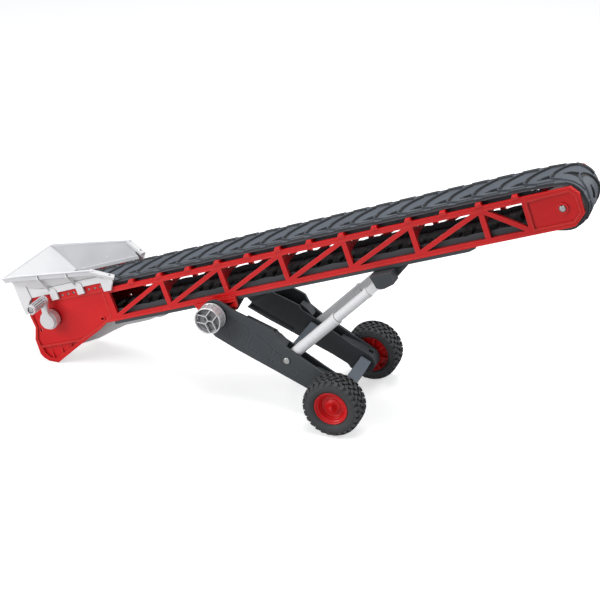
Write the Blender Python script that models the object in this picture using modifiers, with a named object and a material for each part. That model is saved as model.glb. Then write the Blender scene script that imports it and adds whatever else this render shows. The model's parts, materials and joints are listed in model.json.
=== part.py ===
"""Hand-cranked toy belt conveyor: a troughed rubber belt on an inclined truss boom, with a hopper at
the low end and a two-wheeled undercarriage whose struts set the height.

The boom has its own axes: x runs along the belt towards the head, z is square to the belt, and the
undercarriage, the struts and the crank hang on it. Sizes are in millimetres until a mesh is made.
"""

import math

import bmesh
import bpy
from mathutils import Matrix, Vector
from mathutils.geometry import interpolate_bezier

MM = 0.001

# Boom
BOOM_ANGLE = math.radians(20.54)
BOOM_HEIGHT = 94.35  # of the boom's axes above the ground
FRAME_OUT = 34.4  # outer face of a side frame, from the middle
FRAME_IN = 30.4
TOP_CHORD = (25.4, 30.4)
BOTTOM_CHORD = (-6.0, -1.0)
PANEL = 70.0  # from one upright of the truss to the next
TAIL_PANEL_END = -68.0
HEAD_PANEL_START = 392.0
GAP = 0.4  # between neighbouring pieces

# Belt and drums
DRUM_R = 19.4
BELT_IN_R = 19.8
BELT_THICK = 4.0
BELT_HALF = 29.6
TAIL_AXIS = (-146.5, 12.0)
HEAD_AXIS = (424.1, 12.5)
TROUGH_SLOPE = math.tan(math.radians(7))
TROUGH_RAMP = 50.0
RETURN_Z = -2.0  # inner face of the belt where it rests on the tray
AXLE_R = 3.0
BORE_R = 3.4
SADDLES = 13
SADDLE_PITCH = 35.0

# Undercarriage: pivot, strut foot and wheel axle, and the strut's head, on the boom's axes
PIVOT = (52.9, -17.0)
WHEEL_AXIS = (156.4, -126.9)
STRUT_FOOT = (114.3, -79.2)
STRUT_HEAD = (238.0, -19.0)
STRUT_HEAD_PLAY = 2.1  # the strut head's seat is this much longer than round
ARM_IN = (30.0, 32.0)
ARM_OUT = (44.0, 47.0)
STRUT_Y = 38.0
BARREL_R = 5.6
BARREL_LENGTH = 72.0
ROD_R = 4.5
TYRE_R = 30.4
TYRE_HALF = 13.5
RIM_R = 17.2
TRACK_HALF = 62.2

# Crank, knob and tow bar
GRIP_OFFSET = (4.5, 23.2)
GRIP_R = 4.7
KNOB_R = 14.4
TOW_PIVOT = (-152.0, -28.0)

RED = ("red_plastic", (0.52, 0.012, 0.014), 0.32, 0.0)
GREY = ("dark_grey_plastic", (0.045, 0.05, 0.055), 0.45, 0.0)
BLUE_GREY = ("mid_grey_plastic", (0.13, 0.155, 0.18), 0.45, 0.0)
WHITE = ("pale_grey_plastic", (0.78, 0.78, 0.8), 0.4, 0.0)
SILVER = ("silver_plastic", (0.6, 0.6, 0.62), 0.35, 0.0)
CHROME = ("chrome_plastic", (0.72, 0.72, 0.73), 0.18, 1.0)
STEEL = ("steel", (0.6, 0.6, 0.6), 0.3, 1.0)
BELT_RUBBER = ("belt_rubber", (0.06, 0.07, 0.085), 0.55, 0.0)
TYRE_RUBBER = ("tyre_rubber", (0.035, 0.036, 0.038), 0.75, 0.0)


def clear_scene():
    for old in list(bpy.data.objects):
        bpy.data.objects.remove(old)


def new_collection(name):
    collection = bpy.data.collections.new(name)
    bpy.context.scene.collection.children.link(collection)
    return collection


clear_scene()
PARTS = new_collection("belt_conveyor")
CUTTERS = new_collection("cutters")
CUTTERS.hide_render = True


def material(look):
    name, colour, roughness, metallic = look
    found = bpy.data.materials.get(name)
    if found:
        return found
    made = bpy.data.materials.new(name)
    made.use_nodes = True
    shader = made.node_tree.nodes["Principled BSDF"]
    shader.inputs["Base Color"].default_value = (*colour, 1)
    shader.inputs["Roughness"].default_value = roughness
    shader.inputs["Metallic"].default_value = metallic
    return made


def empty(name, parent=None, at=(0, 0, 0), turn=0.0):
    """An axis to hang pieces on: at is in millimetres, turn is about y."""
    axis = bpy.data.objects.new(name, None)
    PARTS.objects.link(axis)
    axis.parent = parent
    axis.location = Vector(at) * MM
    axis.rotation_euler.y = turn
    return axis


def placed(name, mesh, parent, look, at=(0, 0, 0)):
    """A new piece, or with no look a hidden cutter, from a mesh in millimetres."""
    mesh.transform(Matrix.Scale(MM, 4))
    piece = bpy.data.objects.new(name, mesh)
    piece.location = Vector(at) * MM
    piece.parent = parent
    if look is None:
        CUTTERS.objects.link(piece)
        piece.hide_render = True
        piece.display_type = "WIRE"
    else:
        PARTS.objects.link(piece)
        mesh.materials.append(material(look))
    return piece


def welded(mesh):
    work = bmesh.new()
    work.from_mesh(mesh)
    bmesh.ops.remove_doubles(work, verts=work.verts, dist=0.0005)
    bmesh.ops.recalc_face_normals(work, faces=work.faces)
    work.to_mesh(mesh)
    work.free()
    return mesh


def sheet_mesh(loops, span, across="Y"):
    """A flat sheet from an outline and its holes. Across Y its points are (x, z) and span is its two
    y limits; across X they are (y, z), and across Z they are (x, y)."""
    curve = bpy.data.curves.new("outline", "CURVE")
    curve.dimensions = "2D"
    curve.fill_mode = "BOTH"
    curve.extrude = abs(span[1] - span[0]) / 2
    for loop in loops:
        spline = curve.splines.new("POLY")
        spline.points.add(len(loop) - 1)
        spline.use_cyclic_u = True
        for point, place in zip(spline.points, loop):
            point.co = (*place, 0, 1)
    guide = bpy.data.objects.new("outline", curve)
    CUTTERS.objects.link(guide)
    bpy.context.view_layer.update()
    graph = bpy.context.evaluated_depsgraph_get()
    mesh = bpy.data.meshes.new_from_object(guide.evaluated_get(graph))
    bpy.data.objects.remove(guide)
    turns = {
        "X": Matrix(((0, 0, 1, 0), (1, 0, 0, 0), (0, 1, 0, 0), (0, 0, 0, 1))),
        "Y": Matrix.Rotation(math.pi / 2, 4, "X"),
        "Z": Matrix.Identity(4),
    }
    middle = (span[0] + span[1]) / 2
    shift = {"X": (middle, 0, 0), "Y": (0, middle, 0), "Z": (0, 0, middle)}[across]
    mesh.transform(Matrix.Translation(shift) @ turns[across])
    return welded(mesh)


def box_mesh(x, y, z):
    work = bmesh.new()
    bmesh.ops.create_cube(work, size=1)
    mesh = bpy.data.meshes.new("box")
    work.to_mesh(mesh)
    work.free()
    size = [high - low for low, high in (x, y, z)]
    middle = [(low + high) / 2 for low, high in (x, y, z)]
    mesh.transform(Matrix.Translation(middle) @ Matrix.Diagonal((*size, 1)))
    return mesh


def rod_mesh(radius, span, at=(0, 0), sides=24, axis="Y"):
    """A round bar between two limits along its axis, at (x, z) for Y or (x, y) for Z."""
    work = bmesh.new()
    bmesh.ops.create_cone(
        work,
        cap_ends=True,
        segments=sides,
        radius1=radius,
        radius2=radius,
        depth=abs(span[1] - span[0]),
    )
    mesh = bpy.data.meshes.new("rod")
    work.to_mesh(mesh)
    work.free()
    middle = (span[0] + span[1]) / 2
    if axis == "Y":
        turn = Matrix.Rotation(math.pi / 2, 4, "X")
        mesh.transform(Matrix.Translation((at[0], middle, at[1])) @ turn)
    else:
        mesh.transform(Matrix.Translation((*at, middle)))
    return mesh


def turned(name, profile, parent, look, at=(0, 0, 0), steps=32, axis="-Y", ring=False):
    """A turned piece. Its profile is (radius, height) down the outer side, where height is measured
    outwards from the boom's middle along the axis; a ring's profile closes on itself."""
    count = len(profile)
    edges = [(i, i + 1) for i in range(count - 1)]
    if ring:
        edges.append((count - 1, 0))
    mesh = bpy.data.meshes.new(name)
    mesh.from_pydata([(radius, 0, height) for radius, height in profile], edges, [])
    piece = placed(name, mesh, parent, look, at)
    turns = {"-Y": (math.pi / 2, 0, 0), "+Y": (-math.pi / 2, 0, 0), "+X": (0, math.pi / 2, 0), "+Z": (0, 0, 0)}
    piece.rotation_euler = turns[axis]
    screw = piece.modifiers.new("Turn", "SCREW")
    screw.steps = steps
    screw.render_steps = steps
    screw.use_merge_vertices = True
    screw.merge_threshold = 0.00001
    screw.use_smooth_shade = True
    return piece


def boolean(piece, other, operation):
    modifier = piece.modifiers.new(operation.title(), "BOOLEAN")
    modifier.operation = operation
    modifier.solver = "EXACT"
    modifier.object = other


def cut(piece, *meshes):
    for mesh in meshes:
        boolean(piece, placed(piece.name + "_cutter", mesh, piece.parent, None, piece.location / MM), "DIFFERENCE")


def joined(piece, *meshes):
    for mesh in meshes:
        boolean(piece, placed(piece.name + "_addition", mesh, piece.parent, None, piece.location / MM), "UNION")


def mirrored(name, piece):
    """The other side's copy of a finished piece, across the middle plane."""
    bpy.context.view_layer.update()
    graph = bpy.context.evaluated_depsgraph_get()
    mesh = bpy.data.meshes.new_from_object(piece.evaluated_get(graph))
    mesh.transform(Matrix.Diagonal((1, -1, 1, 1)) @ piece.rotation_euler.to_matrix().to_4x4())
    mesh.flip_normals()
    copy = bpy.data.objects.new(name, mesh)
    PARTS.objects.link(copy)
    copy.parent = piece.parent
    copy.location = piece.location
    return copy


def circle(radius, at=(0, 0), sides=24, start=0.0, sweep=2 * math.pi):
    """Points of a circle, or of an arc that keeps both its ends."""
    count = sides if sweep == 2 * math.pi else sides + 1
    angles = [start + sweep * i / sides for i in range(count)]
    return [(at[0] + radius * math.cos(angle), at[1] + radius * math.sin(angle)) for angle in angles]


def symmetric(half):
    """A closed outline from its right half, listed from the bottom middle to the top middle."""
    return half + [(-x, z) for x, z in reversed(half) if x > 0]


def ground(x):
    """Height of the ground on the boom's axes."""
    return -(BOOM_HEIGHT + x * math.sin(BOOM_ANGLE)) / math.cos(BOOM_ANGLE)


def bay_openings(left, right, rising=True):
    """The two triangles that a diagonal leaves between two uprights."""
    upright, brace = 2.5, 2.2
    low, high = BOTTOM_CHORD[1], TOP_CHORD[0]
    x0, x1 = left + upright, right - upright
    slope = (high - low) / (x1 - x0)
    rise = brace * math.hypot(1, slope)
    upper = [(x0, low + rise), (x1 - rise / slope, high), (x0, high)]
    lower = [(x0 + rise / slope, low), (x1, low), (x1, high - rise)]
    if rising:
        return [upper, lower]
    return [[(x0 + x1 - x, z) for x, z in reversed(loop)] for loop in (upper, lower)]


def side_frames(boom):
    foot = (-162.6, -173.5)
    outline = [
        (-162.0, 38.2),
        (-174.3, 19.5),
        (-173.4, 5.1),
        (-179.9, -8.5),
        (-180.9, -26.0),
        (-178.5, -31.0),
        (foot[1], ground(foot[1])),
        (foot[0], ground(foot[0])),
        (-134.6, -28.2),
        (-94.1, -12.2),
        (-82.5, BOTTOM_CHORD[0]),
        (431.0, BOTTOM_CHORD[0]),
        (441.9, 3.7),
        (442.2, 23.0),
        (436.1, TOP_CHORD[1]),
        (-66.6, TOP_CHORD[1]),
        (-70.3, 38.2),
    ]
    uprights = [TAIL_PANEL_END] + [PANEL * i for i in range(6)]
    holes = [loop for a, b in zip(uprights, uprights[1:]) for loop in bay_openings(a, b)]
    holes += bay_openings(uprights[-1], HEAD_PANEL_START, rising=False)
    holes += [circle(BORE_R, TAIL_AXIS), circle(BORE_R, HEAD_AXIS)]
    holes += [circle(1.1, (x, 33.9), 10) for first in (-122.9, -88.0) for x in (first, first + 7.55, first + 15.1)]
    holes += [circle(1.6, (-86.2, -1.1), 12), [(-169.4, -1.8), (-167.2, -1.8), (-167.2, 2.4), (-169.4, 2.4)]]
    right = placed("side_frame_right", sheet_mesh([outline], (-FRAME_OUT, -FRAME_IN)), boom, RED)
    for hole in holes:
        cut(right, sheet_mesh([hole], (-FRAME_OUT - 1, -FRAME_IN + 1)))
    tail_panel = [
        (-171.0, 18.6), (-160.4, 29.8), (-74.0, 28.2), (-74.6, 1.0), (-92.4, -8.3),
        (-122.5, -18.8), (-175.6, -17.1), (-176.4, -9.0), (-170.3, 4.6),
    ]  # fmt: skip
    head_panel = [(394.5, 24.8), (433.8, 26.2), (437.7, 21.7), (437.9, 5.5), (430.5, -0.9), (394.5, -1.0)]
    recess = (-FRAME_OUT - 1, -FRAME_OUT + 1.4)
    boss = circle(5.2, HEAD_AXIS)
    cut(right, sheet_mesh([tail_panel, circle(9.0, TAIL_AXIS)], recess), sheet_mesh([head_panel, boss], recess))
    mirrored("side_frame_left", right)


def trough(y):
    """Height of the troughed belt's inner face above its middle level."""
    return TROUGH_SLOPE * (abs(y) - BELT_HALF / 2)


def bulkheads(boom):
    inner = FRAME_IN - GAP
    half = [(0, 14.2), (15, 14.2), (inner, 11.0), (inner, 27.8), (24, 26.0), (15, 18.4), (0, 18.4)]
    for i in range(6):
        mesh = sheet_mesh([symmetric(half)], (PANEL * i - 1.3, PANEL * i + 1.3), "X")
        placed(f"bulkhead_{i + 1}", mesh, boom, RED)


def saddles(boom):
    """Bars whose V-shaped tops carry the belt, with a notch for the lugs under its middle."""
    middle = (TAIL_AXIS[1] + HEAD_AXIS[1]) / 2 + BELT_IN_R
    top = [(y, middle + trough(y) - GAP) for y in (30.4, 10.5)]
    half = [
        (0, 19.0), (11.6, 19.0), (13.6, 26.0), (29.6, 29.4), (30.6, TOP_CHORD[1] + GAP), (34.6, TOP_CHORD[1] + GAP),
        (35.4, 31.8), (35.4, 33.0), (34.4, 33.7), (31.4, 34.2), top[0], top[1], (9.5, 23.0), (0, 23.0),
    ]  # fmt: skip
    for i in range(SADDLES):
        x = SADDLE_PITCH * (i - 1)
        mesh = sheet_mesh([symmetric(half)], (x - 2.4, x + 2.4), "X")
        placed(f"belt_saddle_{i + 1:02d}", mesh, boom, RED)


def belt_stations():
    """Points of the belt's inner face around its loop, as (place, normal, trough share)."""
    tail, head = Vector(TAIL_AXIS), Vector(HEAD_AXIS)
    stations = []

    def around(centre, start, sweep, steps):
        for i in range(steps + 1):
            angle = start + sweep * i / steps
            normal = Vector((math.cos(angle), math.sin(angle)))
            stations.append((centre + normal * BELT_IN_R, normal, 0.0))

    lift_off = math.radians(12)
    around(head, math.pi / 2, -math.pi - lift_off, 20)
    leave = stations[-1][0]
    slide = Vector((-math.cos(lift_off), math.sin(lift_off)))
    land = tail + Vector((0, -BELT_IN_R))
    sags = (
        (leave, leave + slide * 25, Vector((392, 0.8)), Vector((376, 0.8))),
        (Vector((370, 0.8)), Vector((355, 0.8)), Vector((350, RETURN_Z)), Vector((328, RETURN_Z))),
        (Vector((-80, RETURN_Z)), Vector((-104, RETURN_Z)), land + Vector((26, 0)), land),
    )
    for sag in sags:
        points = [point.xy for point in interpolate_bezier(*sag, 8)]
        last = len(points) - 1
        for i, point in enumerate(points):
            if point not in (leave, land):
                run = points[min(i + 1, last)] - points[max(i - 1, 0)]
                stations.append((point, Vector((-run.y, run.x)).normalized(), 0.0))
    around(tail, -math.pi / 2, -math.pi, 18)

    rise = (head.y - tail.y) / (head.x - tail.x)
    shares = ((0.25, 0.5), (0.5, 0.85), (1.0, 1.0))
    carrying = [(tail.x + TROUGH_RAMP * far, share) for far, share in shares]
    carrying += [(head.x - TROUGH_RAMP * far, share) for far, share in reversed(shares)]
    for x, share in carrying:
        place = Vector((x, tail.y + BELT_IN_R + rise * (x - tail.x)))
        stations.append((place, Vector((0, 1)), share))
    return stations


def belt(boom):
    columns = (-BELT_HALF, 0.0, BELT_HALF)
    work = bmesh.new()
    rows = []
    for place, normal, share in belt_stations():
        points = [(place + normal * share * trough(y), y) for y in columns]
        rows.append([work.verts.new((point.x, y, point.y)) for point, y in points])
    for row, after in zip(rows, rows[1:] + rows[:1]):
        for i in range(len(columns) - 1):
            work.faces.new((row[i], after[i], after[i + 1], row[i + 1]))
    mesh = bpy.data.meshes.new("belt")
    work.to_mesh(mesh)
    work.free()
    piece = placed("belt", mesh, boom, BELT_RUBBER)
    skin = piece.modifiers.new("Thickness", "SOLIDIFY")
    skin.thickness = BELT_THICK * MM
    skin.offset = 1
    skin.use_even_offset = True


def drum_profile():
    half, groove, groove_r = BELT_HALF - 0.4, 9.6, 13.6
    return [
        (DRUM_R, half), (DRUM_R, groove), (groove_r, groove), (groove_r, -groove),
        (DRUM_R, -groove), (DRUM_R, -half), (BORE_R, -half), (BORE_R, half),
    ]  # fmt: skip


def head_end(boom):
    at = (HEAD_AXIS[0], 0, HEAD_AXIS[1])
    turned("head_drum", drum_profile(), boom, BLUE_GREY, at, ring=True)
    end = FRAME_OUT + 0.9
    profile = [(0, end), (AXLE_R - 0.5, end), (AXLE_R, end - 0.5), (AXLE_R, 0.5 - end), (AXLE_R - 0.5, -end), (0, -end)]
    turned("head_axle", profile, boom, STEEL, at, steps=20)


def crank(boom):
    axis = empty("crank_axis", boom, (TAIL_AXIS[0], 0, TAIL_AXIS[1]))
    turned("tail_drum", drum_profile(), axis, BLUE_GREY, ring=True)
    profile = [(0, 41.5), (AXLE_R, 41.5), (AXLE_R, 1 - FRAME_OUT), (0, 1 - FRAME_OUT)]
    turned("crank_shaft", profile, axis, STEEL, steps=20)

    lean = math.atan2(GRIP_OFFSET[1], GRIP_OFFSET[0])
    reach = math.hypot(*GRIP_OFFSET)
    outline = circle(8.6, sides=18, start=math.radians(42), sweep=math.radians(276))
    outline += [(9.5, -3.6), (16.5, -3.4)]
    outline += circle(5.2, (reach, 0), 14, math.radians(-120), math.radians(240))
    outline += [(16.5, 3.4), (9.5, 3.6)]
    outline = [
        (x * math.cos(lean) - z * math.sin(lean), x * math.sin(lean) + z * math.cos(lean)) for x, z in outline
    ]
    hole = circle(2.2, GRIP_OFFSET, 14)
    arm = placed("crank_arm", sheet_mesh([outline, hole], (-46.0, -42.2)), axis, CHROME)
    joined(arm, rod_mesh(10.2, (-43.0, -FRAME_OUT - 0.5), sides=32))
    cut(arm, rod_mesh(BORE_R, (-41.9, -FRAME_OUT + 1)))

    grip_axis = empty("grip_axis", axis, (GRIP_OFFSET[0], 0, GRIP_OFFSET[1]))
    front = 69.4
    profile = [
        (3.6, front), (GRIP_R - 0.5, front), (GRIP_R, front - 0.6), (GRIP_R, 47.0), (GRIP_R - 0.5, 46.4), (2.2, 46.4),
        (2.2, front - 2.4), (3.6, front - 2.4),
    ]  # fmt: skip
    turned("crank_grip", profile, grip_axis, CHROME, steps=24, ring=True)
    profile = [(0, front - 0.4), (2.6, front - 0.6), (3.0, front - 1.2), (3.0, front - 2.0), (1.8, front - 2.0)]
    profile += [(1.8, 42.4), (0, 42.4)]
    turned("grip_pin", profile, grip_axis, STEEL, steps=16)


def tray(boom):
    outline = [(-73, -10.0), (328, -10.0), (335, -8.2), (335, -6.4), (-73, -6.4)]
    placed("belt_tray", sheet_mesh([outline], (-34.0, 34.0)), boom, GREY)


def strut_bracket(boom):
    """Two hollow blocks that hold the struts' heads, on a bar across the tray's underside."""
    x, z = STRUT_HEAD
    bar = sheet_mesh([[(241, -20), (252, -20), (264, -12), (264, -10.4), (241, -10.4)]], (-30.8, 30.8))
    bracket = placed("strut_bracket", bar, boom, GREY)
    block = [
        (229.5, -10.4), (232.5, -23.0), (236.0, -25.2), (240.5, -25.2), (251.0, -22.5), (252.0, -10.4),
    ]  # fmt: skip
    for side in (-1, 1):
        joined(bracket, sheet_mesh([block], (side * 30.2, side * 45.8)))
    away = math.atan2(STRUT_HEAD[1] - STRUT_FOOT[1], STRUT_HEAD[0] - STRUT_FOOT[0]) + math.pi / 2
    shift = (STRUT_HEAD_PLAY * math.cos(away), STRUT_HEAD_PLAY * math.sin(away))
    seat = circle(2.6, (x + shift[0], z + shift[1]), 10, away - math.pi / 2, math.pi)
    seat += circle(2.6, (x, z), 10, away + math.pi / 2, math.pi)
    for side in (-1, 1):
        cut(bracket, box_mesh((220, 247), sorted((side * 33.0, side * 43.0)), (-30, -12.4)))
        cut(bracket, sheet_mesh([seat], (side * 31.4, side * 44.6)))


def pivot_brackets(boom):
    outline = [
        (30.0, -5.6), (33.0, -13.0), (40.5, -23.0), (46.0, -26.0), (60.0, -26.0), (66.0, -23.0),
        (77.0, -16.5), (78.5, -5.6),
    ]  # fmt: skip
    for name, side in (("pivot_bracket_right", -1), ("pivot_bracket_left", 1)):
        mesh = sheet_mesh([outline, circle(BORE_R, PIVOT)], (side * 34.8, side * 38.2))
        placed(name, mesh, boom, RED)


def hopper(boom):
    """A flared three-sided tub whose fourth side opens along the belt."""
    rows = (  # height at the back and at the front, then the back's place and half-width, and the front's
        (39.4, 39.4, -146.0, 31.2, -63.0, 31.2),
        (69.3, 58.8, -165.0, 43.6, -66.0, 38.0),
        (69.9, 59.2, -180.0, 50.0, -64.0, 42.5),
        (64.6, 54.2, -180.0, 50.0, -64.0, 42.5),
    )
    corners = ((0.8, 0.8), (1.5, 1.5), (13.0, 7.0), (13.0, 7.0))
    work = bmesh.new()
    grid = []
    for (back_z, front_z, back, back_y, front, front_y), (corner_x, corner_y) in zip(rows, corners):
        share = corner_x / (front - back)
        corner_z = back_z + (front_z - back_z) * share
        half = [
            (front, front_y, front_z),
            (back + corner_x, back_y + (front_y - back_y) * share, corner_z),
            (back, back_y - corner_y, back_z),
        ]
        path = [(x, -y, z) for x, y, z in half] + half[::-1]
        grid.append([work.verts.new(point) for point in path])
    for row, above in zip(grid, grid[1:]):
        for i in range(len(row) - 1):
            work.faces.new((row[i], row[i + 1], above[i + 1], above[i]))
    bmesh.ops.recalc_face_normals(work, faces=work.faces)
    mesh = bpy.data.meshes.new("hopper")
    work.to_mesh(mesh)
    work.free()
    piece = placed("hopper", mesh, boom, WHITE)
    skin = piece.modifiers.new("Thickness", "SOLIDIFY")
    skin.thickness = 1.6 * MM
    skin.offset = 0
    skin.use_even_offset = True
    for side in (-1, 1):
        outer = sorted((side * 34.8, side * 36.6))
        joined(piece, box_mesh((-163, -64.5), outer, (38.8, 48.5)))
        joined(piece, box_mesh((-177.0, -161.0), sorted((side * 34.8, side * 38.0)), (22.0, 66.0)))
        for left in (-141.5, -105.2, -73.2):
            share = (left + 180) / 116
            rim_y, rim_z = 48.6 - 7.5 * share, 67.8 - 10.6 * share
            leg = [
                (34.8, 30.5), (37.4, 30.5), (38.2, 44.0), (rim_y, rim_z - 7.5), (rim_y, rim_z), (rim_y - 4, rim_z),
                (35.8, 47.0), (34.8, 44.0),
            ]  # fmt: skip
            mesh = sheet_mesh([[(side * y, z) for y, z in leg]], (left, left + 7.8), "X")
            joined(piece, mesh)
    joined(piece, box_mesh((-177.0, -175.2), (-37.0, 37.0), (22.0, 67.0)))


def tow_bar(boom):
    x, z = TOW_PIVOT
    placed("tow_pin", rod_mesh(2.2, (-29.6, 29.6), sides=16), boom, STEEL, (x, 0, z))
    axis = empty("tow_axis", boom, (x, 0, z))
    outline = circle(6.2, (0, 0), 12, math.radians(110), math.radians(170))
    outline += [(30, -3.6), (52, 1.6), (70, 5.2), (100, 5.4), (112, 7.4), (112, 12.4), (100, 14.2), (40, 14.2)]
    bar = placed("tow_bar", sheet_mesh([outline], (-4.0, 4.0)), axis, WHITE)
    joined(bar, rod_mesh(6.2, (-12, 12)), rod_mesh(7.6, (7.4, 12.4), (117.0, 0), axis="Z"))
    cut(bar, rod_mesh(2.6, (-20, 20), sides=16), rod_mesh(3.6, (0, 20), (117.0, 0), axis="Z"))


def from_pivot(point, frame_turn):
    """A point on the boom's axes, on the arm's axes: x runs from the pivot to the wheels."""
    dx, dz = point[0] - PIVOT[0], point[1] - PIVOT[1]
    return (
        dx * math.cos(frame_turn) - dz * math.sin(frame_turn),
        dx * math.sin(frame_turn) + dz * math.cos(frame_turn),
    )


def undercarriage(boom):
    droop = math.atan2(PIVOT[1] - WHEEL_AXIS[1], WHEEL_AXIS[0] - PIVOT[0])
    arms = empty("undercarriage_axis", boom, (PIVOT[0], 0, PIVOT[1]), droop)
    foot = from_pivot(STRUT_FOOT, droop)
    wheel = from_pivot(WHEEL_AXIS, droop)
    end = circle(12, wheel, 10, math.radians(-90), math.pi)
    outer = circle(17.5, (3.0, 0), 12, math.radians(100), math.radians(150))
    outer += [(12, -20.9), (39, -19.7), (84, -15.6), (117, -12.9), *end]
    outer += [(140, 12.4), (97, 13.8), (84, 14.2), (70, 16.1), (60, 23.0), (54, 22.6), (17.5, 17.4)]
    inner = [(15.6, -12.6), (68, -10.0), (71, -14.0), (97, -13.3), (133, -10.5), (141, -13.0), *end]
    inner += [(132, 11.0), (103, 12.0), (87, 13.0), (66, 13.5), (62, 16.4), (29, 12.0)]
    floor = [
        (14, -20.7), (39, -19.5), (84, -15.4), (117, -12.7), *circle(11.8, wheel, 8, math.radians(-90), math.radians(125)),
        *circle(9.6, wheel, 8, math.radians(35), math.radians(-125)), (117, -10.4), (84, -13.0), (39, -17.0), (16, -18.0),
    ]  # fmt: skip
    holes = [circle(BORE_R, wheel), circle(2.9, foot, 16)]
    sides = (-ARM_OUT[1], -ARM_OUT[0])
    right = placed("arm_right", sheet_mesh([outer, circle(BORE_R), *holes], sides), arms, GREY)
    joined(right, sheet_mesh([inner, *holes], (-ARM_IN[1], -ARM_IN[0])))
    joined(right, sheet_mesh([floor], (-ARM_OUT[0] - 1.5, -ARM_IN[1] + 1.0)))
    joined(right, sheet_mesh([circle(9.0), circle(BORE_R)], (-44.6, -38.6)))
    mirrored("arm_left", right)

    inside = (GAP - ARM_IN[0], ARM_IN[0] - GAP)
    beam = [(foot[0] - 6, -5), (foot[0] + 6, -5), (foot[0] + 6, 9), (foot[0] - 6, 9)]
    placed("cross_beam", sheet_mesh([beam], inside), arms, BLUE_GREY)
    beam = [(wheel[0] - 6, -8), (wheel[0] + 6, -8), (wheel[0] + 6, 7), (wheel[0] - 6, 7)]
    placed("axle_beam", sheet_mesh([beam, circle(BORE_R, wheel)], inside), arms, BLUE_GREY)

    for name, axis in (("strut_pin_right", "-Y"), ("strut_pin_left", "+Y")):
        profile = [(0, 48.6), (3.0, 48.4), (3.6, 47.8), (3.6, 47.4), (2.4, 47.4), (2.4, 30.4), (0, 30.4)]
        turned(name, profile, arms, STEEL, (foot[0], 0, foot[1]), steps=16, axis=axis)
    profile = [(0, 70.5), (AXLE_R, 70.5), (AXLE_R, -70.5), (0, -70.5)]
    turned("wheel_axle", profile, arms, STEEL, (wheel[0], 0, wheel[1]), steps=20)
    return arms, foot, wheel, droop


def wheels(arms, wheel):
    low, high = TRACK_HALF - TYRE_HALF, TRACK_HALF + TYRE_HALF
    tyre = [
        (RIM_R + 0.6, high - 2.6), (RIM_R + 3, high - 1.2), (25, high), (28.4, high - 1.4), (TYRE_R, high - 4.6),
        (TYRE_R, low + 4.6), (28.4, low + 1.4), (25, low), (RIM_R + 3, low + 1.2), (RIM_R + 0.6, low + 2.6),
    ]  # fmt: skip
    rim = [
        (0, high - 1.0), (2.4, high - 1.6), (5.2, high - 5.0), (6.0, high - 8.6), (12.2, high - 8.0),
        (13.4, high - 5.0), (14.8, high - 3.2), (RIM_R + 0.2, high - 2.4), (RIM_R + 0.2, low + 3.0),
        (RIM_R - 1.8, low + 3.0), (RIM_R - 1.8, high - 11.0), (6.0, high - 11.4), (6.0, low + 1.0),
        (BORE_R, low + 1.0), (BORE_R, high - 4.8), (0, high - 4.8),
    ]  # fmt: skip
    for side, axis in (("right", "-Y"), ("left", "+Y")):
        hub = empty(f"wheel_axis_{side}", arms, (wheel[0], 0, wheel[1]))
        turned(f"tyre_{side}", tyre, hub, TYRE_RUBBER, steps=36, axis=axis, ring=True)
        turned(f"rim_{side}", rim, hub, RED, steps=32, axis=axis)


def struts(arms, foot, droop):
    """Telescopic struts: a barrel on each arm's pin, and a rod with its own pin in the bracket."""
    dx, dz = STRUT_HEAD[0] - STRUT_FOOT[0], STRUT_HEAD[1] - STRUT_FOOT[1]
    length = math.hypot(dx, dz)
    turn = -math.atan2(dz, dx) - droop
    bore_r, bore_floor = ROD_R + GAP, 14.0
    barrel = [
        (0, bore_floor), (bore_r, bore_floor), (bore_r, BARREL_LENGTH), (BARREL_R - 0.3, BARREL_LENGTH),
        (BARREL_R, BARREL_LENGTH - 1), (BARREL_R, -3.0), (BARREL_R - 1.6, -5.0), (0, -5.0),
    ]  # fmt: skip
    for side, sign in (("right", -1), ("left", 1)):
        foot_axis = empty(f"strut_axis_{side}", arms, (foot[0], sign * STRUT_Y, foot[1]), turn)
        piece = turned(f"strut_barrel_{side}", barrel, foot_axis, SILVER, steps=24, axis="+X")
        bore = placed(f"strut_barrel_{side}_bore", rod_mesh(2.8, (-10, 10), sides=16), foot_axis, None)
        boolean(piece, bore, "DIFFERENCE")
        body = sheet_mesh(
            [[(120, -4.2), *circle(4.2, (length, 0), 10, -math.pi / 2, math.pi), (120, 4.2)]], (-4.4, 4.4)
        )
        rod = placed(f"strut_rod_{side}", body, foot_axis, SILVER)
        shank = rod_mesh(ROD_R, (45.0, 121.0), axis="Z")
        shank.transform(Matrix.Rotation(math.pi / 2, 4, "Y"))
        joined(rod, shank)
        cut(rod, rod_mesh(2.5, (-10, 10), (length, 0), 16))
        pin = rod_mesh(2.1, (-6.2, 6.2), sides=16)
        placed(f"rod_pin_{side}", pin, foot_axis, STEEL, (length, 0, 0))


def pivot(boom):
    at = (PIVOT[0], 0, PIVOT[1])
    profile = [(0, 57.6), (AXLE_R, 57.6), (AXLE_R, -47.4), (5.0, -47.4), (5.0, -49.2), (4.2, -50.0), (0, -50.0)]
    turned("pivot_shaft", profile, boom, STEEL, at, steps=20)
    knob = [
        (0, 60.0), (3.6, 60.0), (4.6, 59.0), (5.0, 55.0), (12.0, 55.0), (12.6, 62.0), (13.8, 62.6), (KNOB_R, 61.8),
        (KNOB_R, 49.2), (KNOB_R - 0.6, 48.4), (BORE_R, 48.4), (BORE_R, 58.0), (0, 58.0),
    ]  # fmt: skip
    turned("height_knob", knob, empty("knob_axis", boom, at), CHROME, steps=32)


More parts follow.
